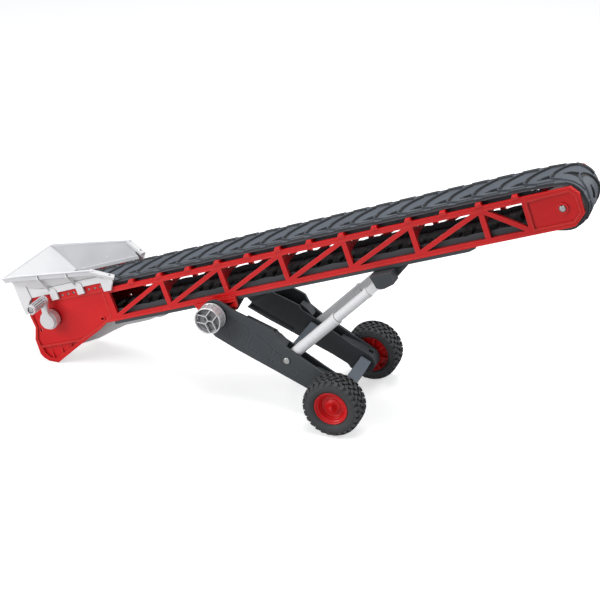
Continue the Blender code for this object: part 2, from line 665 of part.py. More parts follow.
def centre_on_ground(root):
    """Moves the whole conveyor so that the middle of its box's underside is the origin."""
    bpy.context.view_layer.update()
    graph = bpy.context.evaluated_depsgraph_get()
    corners = []
    for piece in PARTS.objects:
        if piece.type == "MESH":
            shape = piece.evaluated_get(graph)
            corners += [shape.matrix_world @ vertex.co for vertex in shape.data.vertices]
    low = [min(corner[i] for corner in corners) for i in range(3)]
    high = [max(corner[i] for corner in corners) for i in range(3)]
    root.location = (-(low[0] + high[0]) / 2, -(low[1] + high[1]) / 2, -low[2])
    bpy.context.view_layer.update()


def main():
    root = empty("conveyor")
    boom = empty("boom_axis", root, (0, 0, BOOM_HEIGHT), -BOOM_ANGLE)
    side_frames(boom)
    bulkheads(boom)
    saddles(boom)
    tray(boom)
    belt(boom)
    head_end(boom)
    crank(boom)
    hopper(boom)
    tow_bar(boom)
    strut_bracket(boom)
    pivot_brackets(boom)
    pivot(boom)
    arms, foot, wheel, droop = undercarriage(boom)
    wheels(arms, wheel)
    struts(arms, foot, droop)
    centre_on_ground(root)


main()
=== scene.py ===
"""Looks of the toy belt conveyor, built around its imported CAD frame.

Shapes are modelled in millimetres on the axes of the body they belong to, and are then set in the
frame in metres. The boom's axes are x along the belt towards the head, y across, and z square to
the belt; the arms' axes run from the pivot to the wheels.
"""

import bisect
import json
import math

import bmesh
import bpy
from mathutils import Matrix, Vector
from mathutils.geometry import interpolate_bezier


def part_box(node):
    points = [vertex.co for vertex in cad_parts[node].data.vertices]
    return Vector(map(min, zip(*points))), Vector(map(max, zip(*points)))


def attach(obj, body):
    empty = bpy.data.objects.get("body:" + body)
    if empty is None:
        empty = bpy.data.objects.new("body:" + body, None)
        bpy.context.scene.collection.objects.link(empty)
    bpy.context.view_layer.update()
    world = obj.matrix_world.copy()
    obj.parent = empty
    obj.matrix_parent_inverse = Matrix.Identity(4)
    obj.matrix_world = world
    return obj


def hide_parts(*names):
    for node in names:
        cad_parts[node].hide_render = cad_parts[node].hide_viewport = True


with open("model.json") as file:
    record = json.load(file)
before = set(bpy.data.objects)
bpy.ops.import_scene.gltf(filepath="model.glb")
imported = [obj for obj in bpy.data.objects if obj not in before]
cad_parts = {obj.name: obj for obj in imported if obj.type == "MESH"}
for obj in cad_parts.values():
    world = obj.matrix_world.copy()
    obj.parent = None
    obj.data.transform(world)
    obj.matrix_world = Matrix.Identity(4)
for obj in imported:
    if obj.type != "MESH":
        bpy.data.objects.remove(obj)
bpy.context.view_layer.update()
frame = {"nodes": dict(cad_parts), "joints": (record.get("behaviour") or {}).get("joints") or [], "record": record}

MM = 0.001
FLAT_ANGLE = math.radians(0.5)  # faces that meet at less than this are one flat face
NODES = frame["nodes"]
JOINTS = {joint["name"]: joint for joint in frame["joints"]}
SIDES = (("right", -1), ("left", 1))


# ---------------------------------------------------------------- axes taken from the frame


def joint_at(name):
    return Vector(JOINTS[name]["pos_m"])


def turned_axes(origin, turn):
    """Axes in millimetres whose x is turned up by an angle about y, with their zero at origin."""
    return Matrix.Translation(origin) @ Matrix.Rotation(-turn, 4, "Y") @ Matrix.Scale(MM, 4)


TAIL_AXIS = (-146.5, 12.0)  # the tail drum's centre on the boom's axes
HEAD_AXIS = (424.1, 12.5)
tail_at = joint_at("crank_turn")
head_at = joint_at("head_turn")
BOOM_TURN = math.atan2(head_at.z - tail_at.z, head_at.x - tail_at.x) - math.atan2(
    HEAD_AXIS[1] - TAIL_AXIS[1], HEAD_AXIS[0] - TAIL_AXIS[0]
)
TAIL_MM = turned_axes(tail_at, BOOM_TURN)
BOOM = TAIL_MM @ Matrix.Translation((-TAIL_AXIS[0], 0, -TAIL_AXIS[1]))

pivot_at = Vector((joint_at("undercarriage_swing").x, 0, joint_at("undercarriage_swing").z))
wheel_at = Vector((joint_at("wheel_right_spin").x, 0, joint_at("wheel_right_spin").z))
ARM_TURN = math.atan2(wheel_at.z - pivot_at.z, wheel_at.x - pivot_at.x)
ARM = turned_axes(pivot_at, ARM_TURN)
ARM_LENGTH = (wheel_at - pivot_at).length / MM

strut_way = Vector(JOINTS["strut_right_slide"]["axis"])
STRUT_TURN = math.atan2(strut_way.z, strut_way.x)
foot_at = joint_at("strut_right_tilt")
STRUT = turned_axes(Vector((foot_at.x, 0, foot_at.z)), STRUT_TURN)
STRUT_Y = abs(foot_at.y) / MM
KNOB = turned_axes(pivot_at, BOOM_TURN)
WHEEL = turned_axes(wheel_at, 0)
WHEEL_Y = abs(joint_at("wheel_right_spin").y) / MM


# ---------------------------------------------------------------- materials


EDGE_HIGHLIGHT_RADIUS = 0.6 * MM  # how far the painted edge highlight reaches from an edge
PAINTED_SHADE_REACH = 5 * MM  # how far apart two faces may be and still darken each other with painted shade
CLOUD_SCALE = 22.0
SMUDGE_SCALE = 60.0


def noise_node(tree, scale, detail):
    """Noise on the piece's own metres, so that its grain has a real size."""
    place = tree.nodes.new("ShaderNodeTexCoord")
    noise = tree.nodes.new("ShaderNodeTexNoise")
    noise.inputs["Scale"].default_value = scale
    noise.inputs["Detail"].default_value = detail
    noise.inputs["Roughness"].default_value = 0.55
    tree.links.new(place.outputs["Object"], noise.inputs["Vector"])
    return noise


def ranged(tree, source, low, high, span=(0.3, 0.7)):
    """A number that follows a noise between two limits."""
    ranging = tree.nodes.new("ShaderNodeMapRange")
    ranging.inputs["From Min"].default_value = span[0]
    ranging.inputs["From Max"].default_value = span[1]
    ranging.inputs["To Min"].default_value = low
    ranging.inputs["To Max"].default_value = high
    tree.links.new(source, ranging.inputs["Value"])
    return ranging.outputs["Result"]


def mixed(tree, factor, first, second):
    """A colour between two colours, or colour outputs, by a factor output."""
    mix = tree.nodes.new("ShaderNodeMix")
    mix.data_type = "RGBA"
    tree.links.new(factor, mix.inputs["Factor"])
    for slot_index, value in ((6, first), (7, second)):
        if isinstance(value, tuple):
            mix.inputs[slot_index].default_value = (*value, 1)
        else:
            tree.links.new(value, mix.inputs[slot_index])
    return mix.outputs[2]


def painted_edge_highlight(tree):
    """How far a point is from a sharp edge, as the mask of the painted edge highlight: 0 on flats, towards 1 on
    edges.
    """
    bevel = tree.nodes.new("ShaderNodeBevel")
    bevel.samples = 4
    bevel.inputs["Radius"].default_value = EDGE_HIGHLIGHT_RADIUS
    plain = tree.nodes.new("ShaderNodeNewGeometry")
    product = tree.nodes.new("ShaderNodeVectorMath")
    product.operation = "DOT_PRODUCT"
    tree.links.new(bevel.outputs["Normal"], product.inputs[0])
    tree.links.new(plain.outputs["Normal"], product.inputs[1])
    return ranged(tree, product.outputs["Value"], 1.0, 0.0, (0.85, 0.995))


def finish_of(name, colour, shade, edge, roughness, grain, metallic=0.0, coat=0.0, shade_mark=None):
    """A moulded finish: two tones in large clouds, a painted highlight on sharp edges, painted shade in corners
    and recesses, fine grain, uneven gloss.

    grain is (size in mm, height in mm). The last argument is a point attribute and the dark colour it brings in as
    painted shade.
    """
    look = bpy.data.materials.new(name)
    look.use_nodes = True
    tree = look.node_tree
    shader = tree.nodes["Principled BSDF"]
    clouds = noise_node(tree, CLOUD_SCALE, 3.0)
    tone = mixed(tree, ranged(tree, clouds.outputs["Fac"], 0.0, 1.0), colour, shade)
    # Painted highlight: the edge colour lightens every sharp edge.
    tone = mixed(tree, painted_edge_highlight(tree), tone, edge)
    # Painted shade: ambient occlusion darkens corners, creases and recesses towards a dark copy of the shade tone.
    corner_shade = tree.nodes.new("ShaderNodeAmbientOcclusion")
    corner_shade.samples = 6
    corner_shade.inputs["Distance"].default_value = PAINTED_SHADE_REACH
    deep = ranged(tree, corner_shade.outputs["AO"], 0.75, 0.0, (0.25, 0.8))
    tone = mixed(tree, deep, tone, tuple(0.35 * channel for channel in shade))
    if shade_mark:
        layer = tree.nodes.new("ShaderNodeAttribute")
        layer.attribute_name = shade_mark[0]
        tone = mixed(tree, layer.outputs["Fac"], tone, shade_mark[1])
    tree.links.new(tone, shader.inputs["Base Color"])
    fine = noise_node(tree, 1.0 / (grain[0] * MM), 2.0)
    smudge = noise_node(tree, SMUDGE_SCALE, 5.0)
    rough = ranged(tree, smudge.outputs["Fac"], roughness * 0.85, roughness * 1.2)
    tree.links.new(rough, shader.inputs["Roughness"])
    bump = tree.nodes.new("ShaderNodeBump")
    bump.inputs["Strength"].default_value = 1.0
    bump.inputs["Distance"].default_value = grain[1] * MM
    tree.links.new(fine.outputs["Fac"], bump.inputs["Height"])
    tree.links.new(bump.outputs["Normal"], shader.inputs["Normal"])
    shader.inputs["Metallic"].default_value = metallic
    shader.inputs["Coat Weight"].default_value = coat
    shader.inputs["Coat Roughness"].default_value = 0.12
    shader.inputs["Specular IOR Level"].default_value = 0.35
    return look


RED = finish_of(
    "red_plastic", (0.70, 0.010, 0.012), (0.60, 0.006, 0.009), (0.90, 0.10, 0.08), 0.34, (0.6, 0.012),
    coat=0.05,
)  # fmt: skip
GREY = finish_of(
    "dark_grey_plastic", (0.060, 0.067, 0.074), (0.050, 0.056, 0.063), (0.15, 0.165, 0.18), 0.5, (0.5, 0.03)
)
BLUE_GREY = finish_of(
    "mid_grey_plastic", (0.22, 0.25, 0.295), (0.185, 0.213, 0.255), (0.29, 0.325, 0.37), 0.48, (0.5, 0.025)
)
WHITE = finish_of(
    "pale_grey_plastic", (0.80, 0.80, 0.81), (0.75, 0.75, 0.765), (0.87, 0.87, 0.88), 0.38, (0.7, 0.01)
)
SILVER = finish_of(
    "silver_plastic", (0.85, 0.85, 0.87), (0.78, 0.78, 0.8), (0.92, 0.92, 0.94), 0.28, (0.5, 0.01), coat=0.3
)
CHROME = finish_of(
    "chrome_plastic", (0.80, 0.80, 0.82), (0.73, 0.73, 0.75), (0.90, 0.90, 0.90), 0.28, (1.2, 0.008),
    metallic=0.45,
)  # fmt: skip
STEEL = finish_of(
    "steel", (0.62, 0.62, 0.62), (0.5, 0.5, 0.5), (0.75, 0.75, 0.75), 0.3, (0.4, 0.01), metallic=1.0
)
# The rib attribute brings painted shade onto the belt: the ribs' steep sides, the hollows behind their points, its
# edges and its lugs.
BELT = finish_of(
    "belt_rubber", (0.12, 0.135, 0.16), (0.098, 0.111, 0.133), (0.16, 0.178, 0.205), 0.5, (0.45, 0.03),
    shade_mark=("rib", (0.016, 0.018, 0.019)),
)  # fmt: skip
TYRE = finish_of(
    "tyre_rubber", (0.062, 0.063, 0.066), (0.050, 0.051, 0.053), (0.15, 0.15, 0.155), 0.62, (0.35, 0.04)
)
# A shaded copy of the pale plastic: painted shade on the hopper's lip, whose top looks greyer than its near face.
LIP_SHADED = finish_of(
    "lip_shaded_plastic", (0.66, 0.66, 0.69), (0.62, 0.62, 0.65), (0.8, 0.8, 0.82), 0.4, (0.7, 0.01)
)
SHADED = finish_of(
    "shaded_plastic", (0.50, 0.50, 0.52), (0.46, 0.46, 0.48), (0.6, 0.6, 0.62), 0.45, (0.7, 0.01)
)
DRUM = finish_of(
    "drum_plastic", (0.30, 0.285, 0.285), (0.26, 0.25, 0.25), (0.4, 0.38, 0.38), 0.45, (0.6, 0.015)
)
DISH = finish_of(
    "knob_dish_plastic", (0.20, 0.20, 0.21), (0.16, 0.16, 0.17), (0.3, 0.3, 0.3), 0.25, (0.8, 0.008), coat=0.3
)

SLOT_OF = {
    "red_plastic": RED,
    "dark_grey_plastic": GREY,
    "mid_grey_plastic": BLUE_GREY,
    "pale_grey_plastic": WHITE,
    "silver_plastic": SILVER,
    "chrome_plastic": CHROME,
    "steel": STEEL,
    "belt_rubber": BELT,
    "tyre_rubber": TYRE,
}
SLOT_NAME = {look.name: slot for slot, look in SLOT_OF.items()}
SLOT_NAME |= {  # finishes of the visible model only, each a variant of one of the record's slots
    LIP_SHADED.name: "pale_grey_plastic",
    SHADED.name: "pale_grey_plastic",
    DRUM.name: "mid_grey_plastic",
    DISH.name: "chrome_plastic",
}
NODE_SLOT = {part["node"]: part["material_slot"] for part in frame["record"]["subparts"]}
NODE_BODY = {node: body for body, nodes in frame["record"]["behaviour"]["bodies"].items() for node in nodes}


# ---------------------------------------------------------------- mesh tools


def evaluated(piece):
    """The piece's mesh with its modifiers applied."""
    bpy.context.view_layer.update()
    graph = bpy.context.evaluated_depsgraph_get()
    mesh = bpy.data.meshes.new_from_object(piece.evaluated_get(graph))
    old = piece.data
    piece.modifiers.clear()
    piece.data = mesh
    if old.users == 0:
        bpy.data.meshes.remove(old)
    return piece


def shaded(mesh, angle=32):
    mesh.shade_smooth()
    mesh.set_sharp_from_angle(angle=math.radians(angle))


def piece_from(mesh, name, look, body, nodes=()):
    """A visible piece from a mesh in the frame's metres, riding on a body and standing for CAD nodes."""
    piece = bpy.data.objects.new(name, mesh)
    bpy.context.scene.collection.objects.link(piece)
    mesh.materials.clear()
    mesh.materials.append(look)
    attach(piece, body)
    if nodes:
        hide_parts(*nodes)
    return piece


def rounded(piece, width, segments=2):
    """Rounds the piece's edges by a width in millimetres, and keeps its large faces flat to the eye."""
    bevel = piece.modifiers.new("Round", "BEVEL")
    bevel.width = width * MM
    bevel.segments = segments
    bevel.limit_method = "ANGLE"
    bevel.angle_limit = math.radians(35)
    bevel.use_clamp_overlap = True
    evaluated(piece)
    shaded(piece.data)
    even = piece.modifiers.new("Even", "WEIGHTED_NORMAL")
    even.keep_sharp = True
    return evaluated(piece)


def make_faces_whole(work, merge):
    """Merges vertices closer than a distance, and dissolves the edges inside flat faces."""
    bmesh.ops.remove_doubles(work, verts=work.verts, dist=merge)
    bmesh.ops.dissolve_limit(work, angle_limit=FLAT_ANGLE, verts=work.verts, edges=work.edges)


def cad_mesh(node):
    """A copy of a CAD node's mesh with its flat faces whole again."""
    work = bmesh.new()
    work.from_mesh(NODES[node].data)
    make_faces_whole(work, 0.02 * MM)
    mesh = bpy.data.meshes.new(node)
    work.to_mesh(mesh)
    work.free()
    return mesh


def from_bmesh(work, name):
    bmesh.ops.recalc_face_normals(work, faces=work.faces)
    mesh = bpy.data.meshes.new(name)
    work.to_mesh(mesh)
    work.free()
    return mesh


def sheet(loops, low, high, across="Y"):
    """A flat sheet from an outline and its holes between two limits across it. Across Y the points
    are (x, z), across X they are (y, z), and across Z they are (x, y)."""
    curve = bpy.data.curves.new("outline", "CURVE")
    curve.dimensions = "2D"
    curve.fill_mode = "BOTH"
    curve.extrude = abs(high - low) / 2
    for loop in loops:
        spline = curve.splines.new("POLY")
        spline.points.add(len(loop) - 1)
        spline.use_cyclic_u = True
        for point, place in zip(spline.points, loop):
            point.co = (*place, 0, 1)
    guide = bpy.data.objects.new("outline", curve)
    bpy.context.scene.collection.objects.link(guide)
    bpy.context.view_layer.update()
    graph = bpy.context.evaluated_depsgraph_get()
    mesh = bpy.data.meshes.new_from_object(guide.evaluated_get(graph))
    bpy.data.objects.remove(guide)
    bpy.data.curves.remove(curve)
    turns = {
        "X": Matrix(((0, 0, 1, 0), (1, 0, 0, 0), (0, 1, 0, 0), (0, 0, 0, 1))),
        "Y": Matrix.Rotation(math.pi / 2, 4, "X"),
        "Z": Matrix.Identity(4),
    }
    middle = (low + high) / 2
    shift = {"X": (middle, 0, 0), "Y": (0, middle, 0), "Z": (0, 0, middle)}[across]
    mesh.transform(Matrix.Translation(shift) @ turns[across])
    work = bmesh.new()
    work.from_mesh(mesh)
    make_faces_whole(work, 0.0005)
    bpy.data.meshes.remove(mesh)
    return from_bmesh(work, "sheet")


def box(x, y, z):
    """A block between two limits on each axis."""
    work = bmesh.new()
    size = [high - low for low, high in (x, y, z)]
    middle = [(low + high) / 2 for low, high in (x, y, z)]
    bmesh.ops.create_cube(work, size=1, matrix=Matrix.Translation(middle) @ Matrix.Diagonal((*size, 1)))
    return from_bmesh(work, "box")


def lathe(profile, steps=48, ring=False):
    """A turned mesh about y from (radius, y) points; a ring's profile closes on itself."""
    work = bmesh.new()
    rings = []
    for radius, y in profile:
        if radius < 1e-6:
            rings.append([work.verts.new((0, y, 0))])
            continue
        angles = [2 * math.pi * i / steps for i in range(steps)]
        rings.append([work.verts.new((radius * math.cos(a), y, radius * math.sin(a))) for a in angles])
    pairs = list(zip(rings, rings[1:]))
    if ring:
        pairs.append((rings[-1], rings[0]))
    for first, second in pairs:
        for i in range(steps):
            j = (i + 1) % steps
            corners = [first[i % len(first)], first[j % len(first)]]
            corners += [second[j % len(second)], second[i % len(second)]]
            unique = list(dict.fromkeys(corners))
            if len(unique) > 2:
                work.faces.new(unique)
    return from_bmesh(work, "turned")


def rod(radius, low, high, at=(0, 0), sides=32):
    """A round bar along y at (x, z)."""
    mesh = lathe([(0, low), (radius, low), (radius, high), (0, high)], sides)
    mesh.transform(Matrix.Translation((at[0], 0, at[1])))
    return mesh


def gathered(meshes):
    """One mesh from several, which stay separate solids inside it."""
    work = bmesh.new()
    for mesh in meshes:
        work.from_mesh(mesh)
        bpy.data.meshes.remove(mesh)
    mesh = bpy.data.meshes.new("group")
    work.to_mesh(mesh)
    work.free()
    return mesh


def carved(mesh, others, operation="DIFFERENCE"):
    """The mesh with other meshes cut out of it, or joined to it; all in the same units."""
    target = bpy.data.objects.new("carved", mesh)
    bpy.context.scene.collection.objects.link(target)
    tools = []
    for other in others:
        tool = bpy.data.objects.new("tool", other)
        bpy.context.scene.collection.objects.link(tool)
        tools.append(tool)
        step = target.modifiers.new("step", "BOOLEAN")
        step.operation = operation
        step.solver = "EXACT"
        step.object = tool
    evaluated(target)
    for tool in tools:
        spent = tool.data
        bpy.data.objects.remove(tool)
        bpy.data.meshes.remove(spent)
    result = target.data
    bpy.data.objects.remove(target)
    return result


def arc(radius, at, sides, start, end):
    """Points of an arc from one angle to another, both in degrees and both kept."""
    angles = [math.radians(start) + math.radians(end - start) * i / sides for i in range(sides + 1)]
    return [(at[0] + radius * math.cos(a), at[1] + radius * math.sin(a)) for a in angles]


def placed(mesh, axes):
    mesh.transform(axes)
    return mesh


def flipped(mesh):
    """The mesh mirrored to the conveyor's other side."""
    other = mesh.copy()
    other.transform(Matrix.Diagonal((1, -1, 1, 1)))
    other.flip_normals()
    return other


def on_side(mesh, sign, axes):
    """A mesh modelled on the left, set on the left (sign 1) or on the right (sign -1) of some axes."""
    return placed(mesh if sign > 0 else flipped(mesh), axes)


def smooth_step(value):
    value = min(1.0, max(0.0, value))
    return value * value * (3 - 2 * value)


# ---------------------------------------------------------------- belt

BELT_IN_R = 19.8  # of its inner face on the drums
BELT_BASE = 2.2  # thickness between the ribs, and over a rib
BELT_THICK = 4.0
BELT_HALF = 29.6  # half of its width
BELT_RIM_Y = 27.0  # painted shade darkens the edge from here outwards
TROUGH = math.tan(math.radians(7))
TROUGH_RAMP = 50.0  # the trough fades in over this length at each drum
RETURN_Z = -2.0  # where the return run's inner face lies
LIFT_OFF = math.radians(12)  # the belt leaves the head drum this far past its lowest point
CHEVRON_PITCH = 25.1
CHEVRON_PHASE = 54.5 % CHEVRON_PITCH  # where a chevron's apex lies along the boom
CORNER_Y = 22.8  # where a chevron's arm turns along the belt's edge
CORNER_X = 19.0
HOOK_END = 17.0
HORN_LENGTH = 12.6  # of the hollow behind a chevron's point
HORN_HALF = 6.6
HORN_POINT = 0.9
LUG_BASE = (4.6, 8.6, 0.3)  # half length, half width and height over the inner face
LUG_TIP = (2.7, 7.6, -4.8)


def belt_path():
    """Close points of the belt's inner face around its loop, as (x, z, trough share), and how far
    along the loop each one lies."""
    tail, head = Vector(TAIL_AXIS), Vector(HEAD_AXIS)
    points = []
    run = head.x - tail.x
    for i in range(241):
        x = run * i / 240
        near = min(x, run - x)
        share = 1 - max(0.0, 1 - near / TROUGH_RAMP) ** 2.4
        points.append((tail.x + x, tail.y + BELT_IN_R + (head.y - tail.y) * i / 240, share))
    for i in range(1, 61):
        angle = math.pi / 2 - (math.pi + LIFT_OFF) * i / 60
        points.append((head.x + BELT_IN_R * math.cos(angle), head.y + BELT_IN_R * math.sin(angle), 0.0))
    leave = Vector(points[-1][:2])
    slide = Vector((-math.cos(LIFT_OFF), math.sin(LIFT_OFF)))
    land = tail + Vector((0, -BELT_IN_R))
    sags = (
        (leave, leave + slide * 25, (392, 0.8), (376, 0.8)),
        ((376, 0.8), (372, 0.8), (372, 0.8), (370, 0.8)),
        ((370, 0.8), (355, 0.8), (350, RETURN_Z), (328, RETURN_Z)),
        ((328, RETURN_Z), (200, RETURN_Z), (50, RETURN_Z), (-80, RETURN_Z)),
        ((-80, RETURN_Z), (-104, RETURN_Z), land + Vector((26, 0)), land),
    )
    for sag in sags:
        bend = interpolate_bezier(*(Vector(point) for point in sag), 60)
        points += [(point.x, point.y, 0.0) for point in bend[1:]]
    for i in range(1, 60):
        angle = -math.pi / 2 - math.pi * i / 60
        points.append((tail.x + BELT_IN_R * math.cos(angle), tail.y + BELT_IN_R * math.sin(angle), 0.0))
    points.append(points[0])
    lengths = [0.0]
    for (x0, z0, _), (x1, z1, _) in zip(points, points[1:]):
        lengths.append(lengths[-1] + math.hypot(x1 - x0, z1 - z0))
    return points, lengths


def chevron_shift(y):
    """How far a chevron's line lies ahead of its apex."""
    return CORNER_X * (min(abs(y), CORNER_Y) / CORNER_Y) ** 1.9


def belt_look():
    """The belt: rows of vertices that follow the chevrons outside, and lugs on its inner face."""
    points, lengths = belt_path()
    total = lengths[-1]
    count = round(total / CHEVRON_PITCH)
    pitch = total / count
    start = CHEVRON_PHASE - (TAIL_AXIS[0] % CHEVRON_PITCH)

    def on_belt(u, y, height):
        """A point at a length along the belt, a place across it, and a height over its inner face."""
        u %= total
        i = min(len(points) - 2, bisect.bisect_right(lengths, u) - 1)
        part = (u - lengths[i]) / (lengths[i + 1] - lengths[i])
        x0, z0, share0 = points[i]
        x1, z1, share1 = points[i + 1]
        along = Vector((x1 - x0, z1 - z0)).normalized()
        share = share0 + (share1 - share0) * part
        rise = height + share * TROUGH * (math.hypot(y, 2.0) - BELT_HALF / 2)
        return (x0 + (x1 - x0) * part - along.y * rise, y, z0 + (z1 - z0) * part + along.x * rise)

    horn_start = pitch - HORN_LENGTH
    # Each row: how far behind a chevron's line it lies, its share of a rib's height, and its darkness, which is
    # painted shade on the rib's steep side and in the groove behind it
    ribs = ((0, 0, 0.2), (0.4, 1, 0), (1.1, 1, 0.3), (1.6, 0.1, 1), (3.9, -0.2, 1), (4.4, 0, 0.1))
    plain = (5.2, 7.5, 10.5, horn_start, 13.4, 14.6, HOOK_END, HOOK_END + 0.5, 19.5, 22, 24.6)
    rows = list(ribs) + [(w, 0, 0) for w in plain]
    edge_columns = [7.0, 9.0, 11.5, 14, 17, 20] + [CORNER_Y + step for step in (-1.0, -0.5, 0.6, 1.0)]
    edge_columns += [BELT_RIM_Y - 0.6, BELT_RIM_Y + 0.2]

    def horn_half(w):
        """Half the width of the smooth wedge at the belt's middle."""
        if w < horn_start:
            return HORN_HALF + (HORN_POINT - HORN_HALF) * w / horn_start
        return HORN_POINT + (HORN_HALF - HORN_POINT) * ((w - horn_start) / (pitch - horn_start)) ** 0.6

    def height_at(row, index, y):
        """Height over the inner face, and how much painted shade darkens the rubber there."""
        w, level, dark = row
        # Painted shade on the hook along the belt's edge.
        if y > CORNER_Y + 0.7:
            level, dark = (0.4 if 0 < w <= HOOK_END else 0), 0
        elif y >= CORNER_Y - 0.6 and 0 < w <= HOOK_END:
            level, dark = (1, 0.9) if y > CORNER_Y else (0.6, 1)
        height = BELT_BASE + (BELT_THICK - BELT_BASE) * level
        # Painted shade fills the hollow behind a chevron's point.
        if index == 0 and w > horn_start:
            height -= 1.5 * smooth_step((w - horn_start) / 4.0)
            dark = 1
        # Painted shade darkens the rim of the belt.
        if y > BELT_RIM_Y:
            dark = 0.95
        if y >= BELT_HALF - 0.01:
            height -= 0.6
        return height, dark

    work = bmesh.new()
    shade_mark = work.verts.layers.float.new("rib")
    outer, inner = [], []
    for i in range(count):
        for row in rows:
            w = row[0]
            half = horn_half(w)
            across = [max(0.25, half - 0.5), half] + edge_columns + [BELT_HALF - 0.5, BELT_HALF]
            columns = range(len(across))
            listed = [(-1, k) for k in reversed(columns)] + [(0, 0)] + [(1, k) for k in columns]
            line = []
            for sign, k in listed:
                y = across[k] if sign else 0.0
                height, dark = height_at(row, k, y)
                vertex = work.verts.new(on_belt(start + i * pitch + w + chevron_shift(y), sign * y, height))
                vertex[shade_mark] = dark
                line.append(vertex)
            outer.append(line)
            u = start + i * pitch + w + chevron_shift(BELT_HALF)
            line = [work.verts.new(on_belt(u, y, 0.0)) for y in (-BELT_HALF, -15, 0, 15, BELT_HALF)]
            inner.append(line)
    for row, after in zip(outer, outer[1:] + outer[:1]):
        for k in range(len(row) - 1):
            work.faces.new((row[k], after[k], after[k + 1], row[k + 1]))
    for row, after in zip(inner, inner[1:] + inner[:1]):
        for k in range(len(row) - 1):
            work.faces.new((row[k], row[k + 1], after[k + 1], after[k]))
    for row, after, low, low_after in zip(outer, outer[1:] + outer[:1], inner, inner[1:] + inner[:1]):
        work.faces.new((row[0], low[0], low_after[0], after[0]))
        work.faces.new((row[-1], after[-1], low_after[-1], low[-1]))

    corners = ((-1, -1), (1, -1), (1, 1), (-1, 1))
    for i in range(2 * count):
        middle = start + i * pitch / 2
        base, tip = (
            [work.verts.new(on_belt(middle + a * length, b * width, height)) for a, b in corners]
            for length, width, height in (LUG_BASE, LUG_TIP)
        )
        # Painted shade: the lugs, which face into the frame under the belt, are wholly dark.
        for vertex in base + tip:
            vertex[shade_mark] = 1.0
        work.faces.new(base)
        work.faces.new(list(reversed(tip)))
        for k in range(4):
            n = (k + 1) % 4
            work.faces.new((base[k], tip[k], tip[n], base[n]))
    mesh = placed(from_bmesh(work, "belt"), BOOM)
    shaded(mesh, 40)
    piece_from(mesh, "chevron_belt", BELT, "boom", ["belt"])


# ---------------------------------------------------------------- red frame


def widened(loop, width):
    """A loop with every edge moved outwards."""
    points = [Vector(point) for point in loop]
    area = sum(a.x * b.y - b.x * a.y for a, b in zip(points, points[1:] + points[:1]))
    width = math.copysign(width, area)
    result = []
    for before, point, after in zip(points[-1:] + points[:-1], points, points[1:] + points[:1]):
        normals = [Vector(((b - a).y, -(b - a).x)).normalized() for a, b in ((before, point), (point, after))]
        middle = (normals[0] + normals[1]).normalized()
        result.append(tuple(point + middle * (width / middle.dot(normals[0]))))
    return result


FRAME_Y = 34.0  # the side frames' sunk outer faces
BEAD_Y = 34.85
STUD_Z = 33.9


def side_frames():
    """Side frames: beads round their panels, a ribbed pocket in the foot, studs in the top edge."""
    tail_panel = [
        (-171.0, 18.6), (-160.4, 29.8), (-74.0, 28.2), (-74.6, 1.0), (-92.4, -8.3),
        (-122.5, -18.8), (-175.6, -17.1), (-176.4, -9.0), (-170.3, 4.6),
    ]  # fmt: skip
    head_panel = [(394.5, 24.8), (433.8, 26.2), (437.7, 21.7), (437.9, 5.5), (430.5, -0.9), (394.5, -1.0)]
    pocket = [
        (-175.2, -19.6), (-127.5, -20.2), (-134.8, -24.2), (-163.9, -34.8), (-169.8, -32.6), (-173.8, -27.0),
    ]  # fmt: skip
    stud_places = [first + 7.55 * i for first in (-122.9, -88.0) for i in range(3)]
    for side, sign in SIDES:
        cuts = [rod(1.55, 29, 36, (x, STUD_Z), 20) for x in stud_places]
        cuts.append(sheet([pocket], 32.2, 36))
        adds = []
        for x, high, low in ((-166.0, -19.2, -34.6), (-152.3, -19.5, -32.0), (-138.0, -19.8, -25.5)):
            adds.append(sheet([[(32.0, high), (32.0, low), (34.4, low)]], x - 0.7, x + 0.7, "X"))
        for panel in (tail_panel, head_panel):
            adds.append(sheet([widened(panel, 1.6), widened(panel, 0.7)], FRAME_Y, BEAD_Y))
        adds.append(sheet([[(-80, -6.2), (428, -6.2), (428, -4.6), (-80, -4.6)]], FRAME_Y, 34.75))
        adds.append(sheet([[(-62, 25.5), (390, 25.5), (390, 27.0), (-62, 27.0)]], FRAME_Y, 34.7))
        ring = lathe([(1.7, FRAME_Y), (3.0, FRAME_Y), (3.2, 33.6), (3.2, 32.6), (1.7, 32.6)], 32, True)
        ring.transform(Matrix.Translation((-86.2, 0, -1.1)))
        adds.append(ring)
        tools = [[on_side(tool, sign, BOOM) for tool in group] for group in (cuts, adds)]
        carried(f"side_frame_{side}", 0.45, *tools)
        studs = gathered([rod(1.15, 32.8, 33.9, (x, STUD_Z), 16) for x in stud_places])
        piece_from(on_side(studs, sign, BOOM), f"rivet_studs_{side}", DRUM, "boom")


def saddles():
    """Belt saddles with domed ends that sit on the top chord."""
    half_dome = [(3.6, 30.6), (3.4, 31.4), (2.4, 33.0), (1.0, 33.7)]
    dome = [(-3.6, 30.6)] + half_dome + [(-1.0, 33.7), (-2.4, 33.0), (-3.4, 31.4)]
    spacing = 35
    for name in sorted(NODES):
        if not name.startswith("belt_saddle_"):
            continue
        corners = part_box(name)
        middle = BOOM.inverted() @ ((Vector(corners[0]) + Vector(corners[1])) / 2)
        step = Matrix.Translation((round(middle.x / spacing) * spacing, 0, 0))
        adds = []
        for sign in (-1, 1):
            end = sheet([dome], 33.0, 35.7)
            face = rod(1.0, 35.4, 36.0, (0, 32.2), 16)
            for mesh in (end, face):
                mesh.transform(step)
                adds.append(on_side(mesh, sign, BOOM))
        carried(name, 0.3, (), adds)


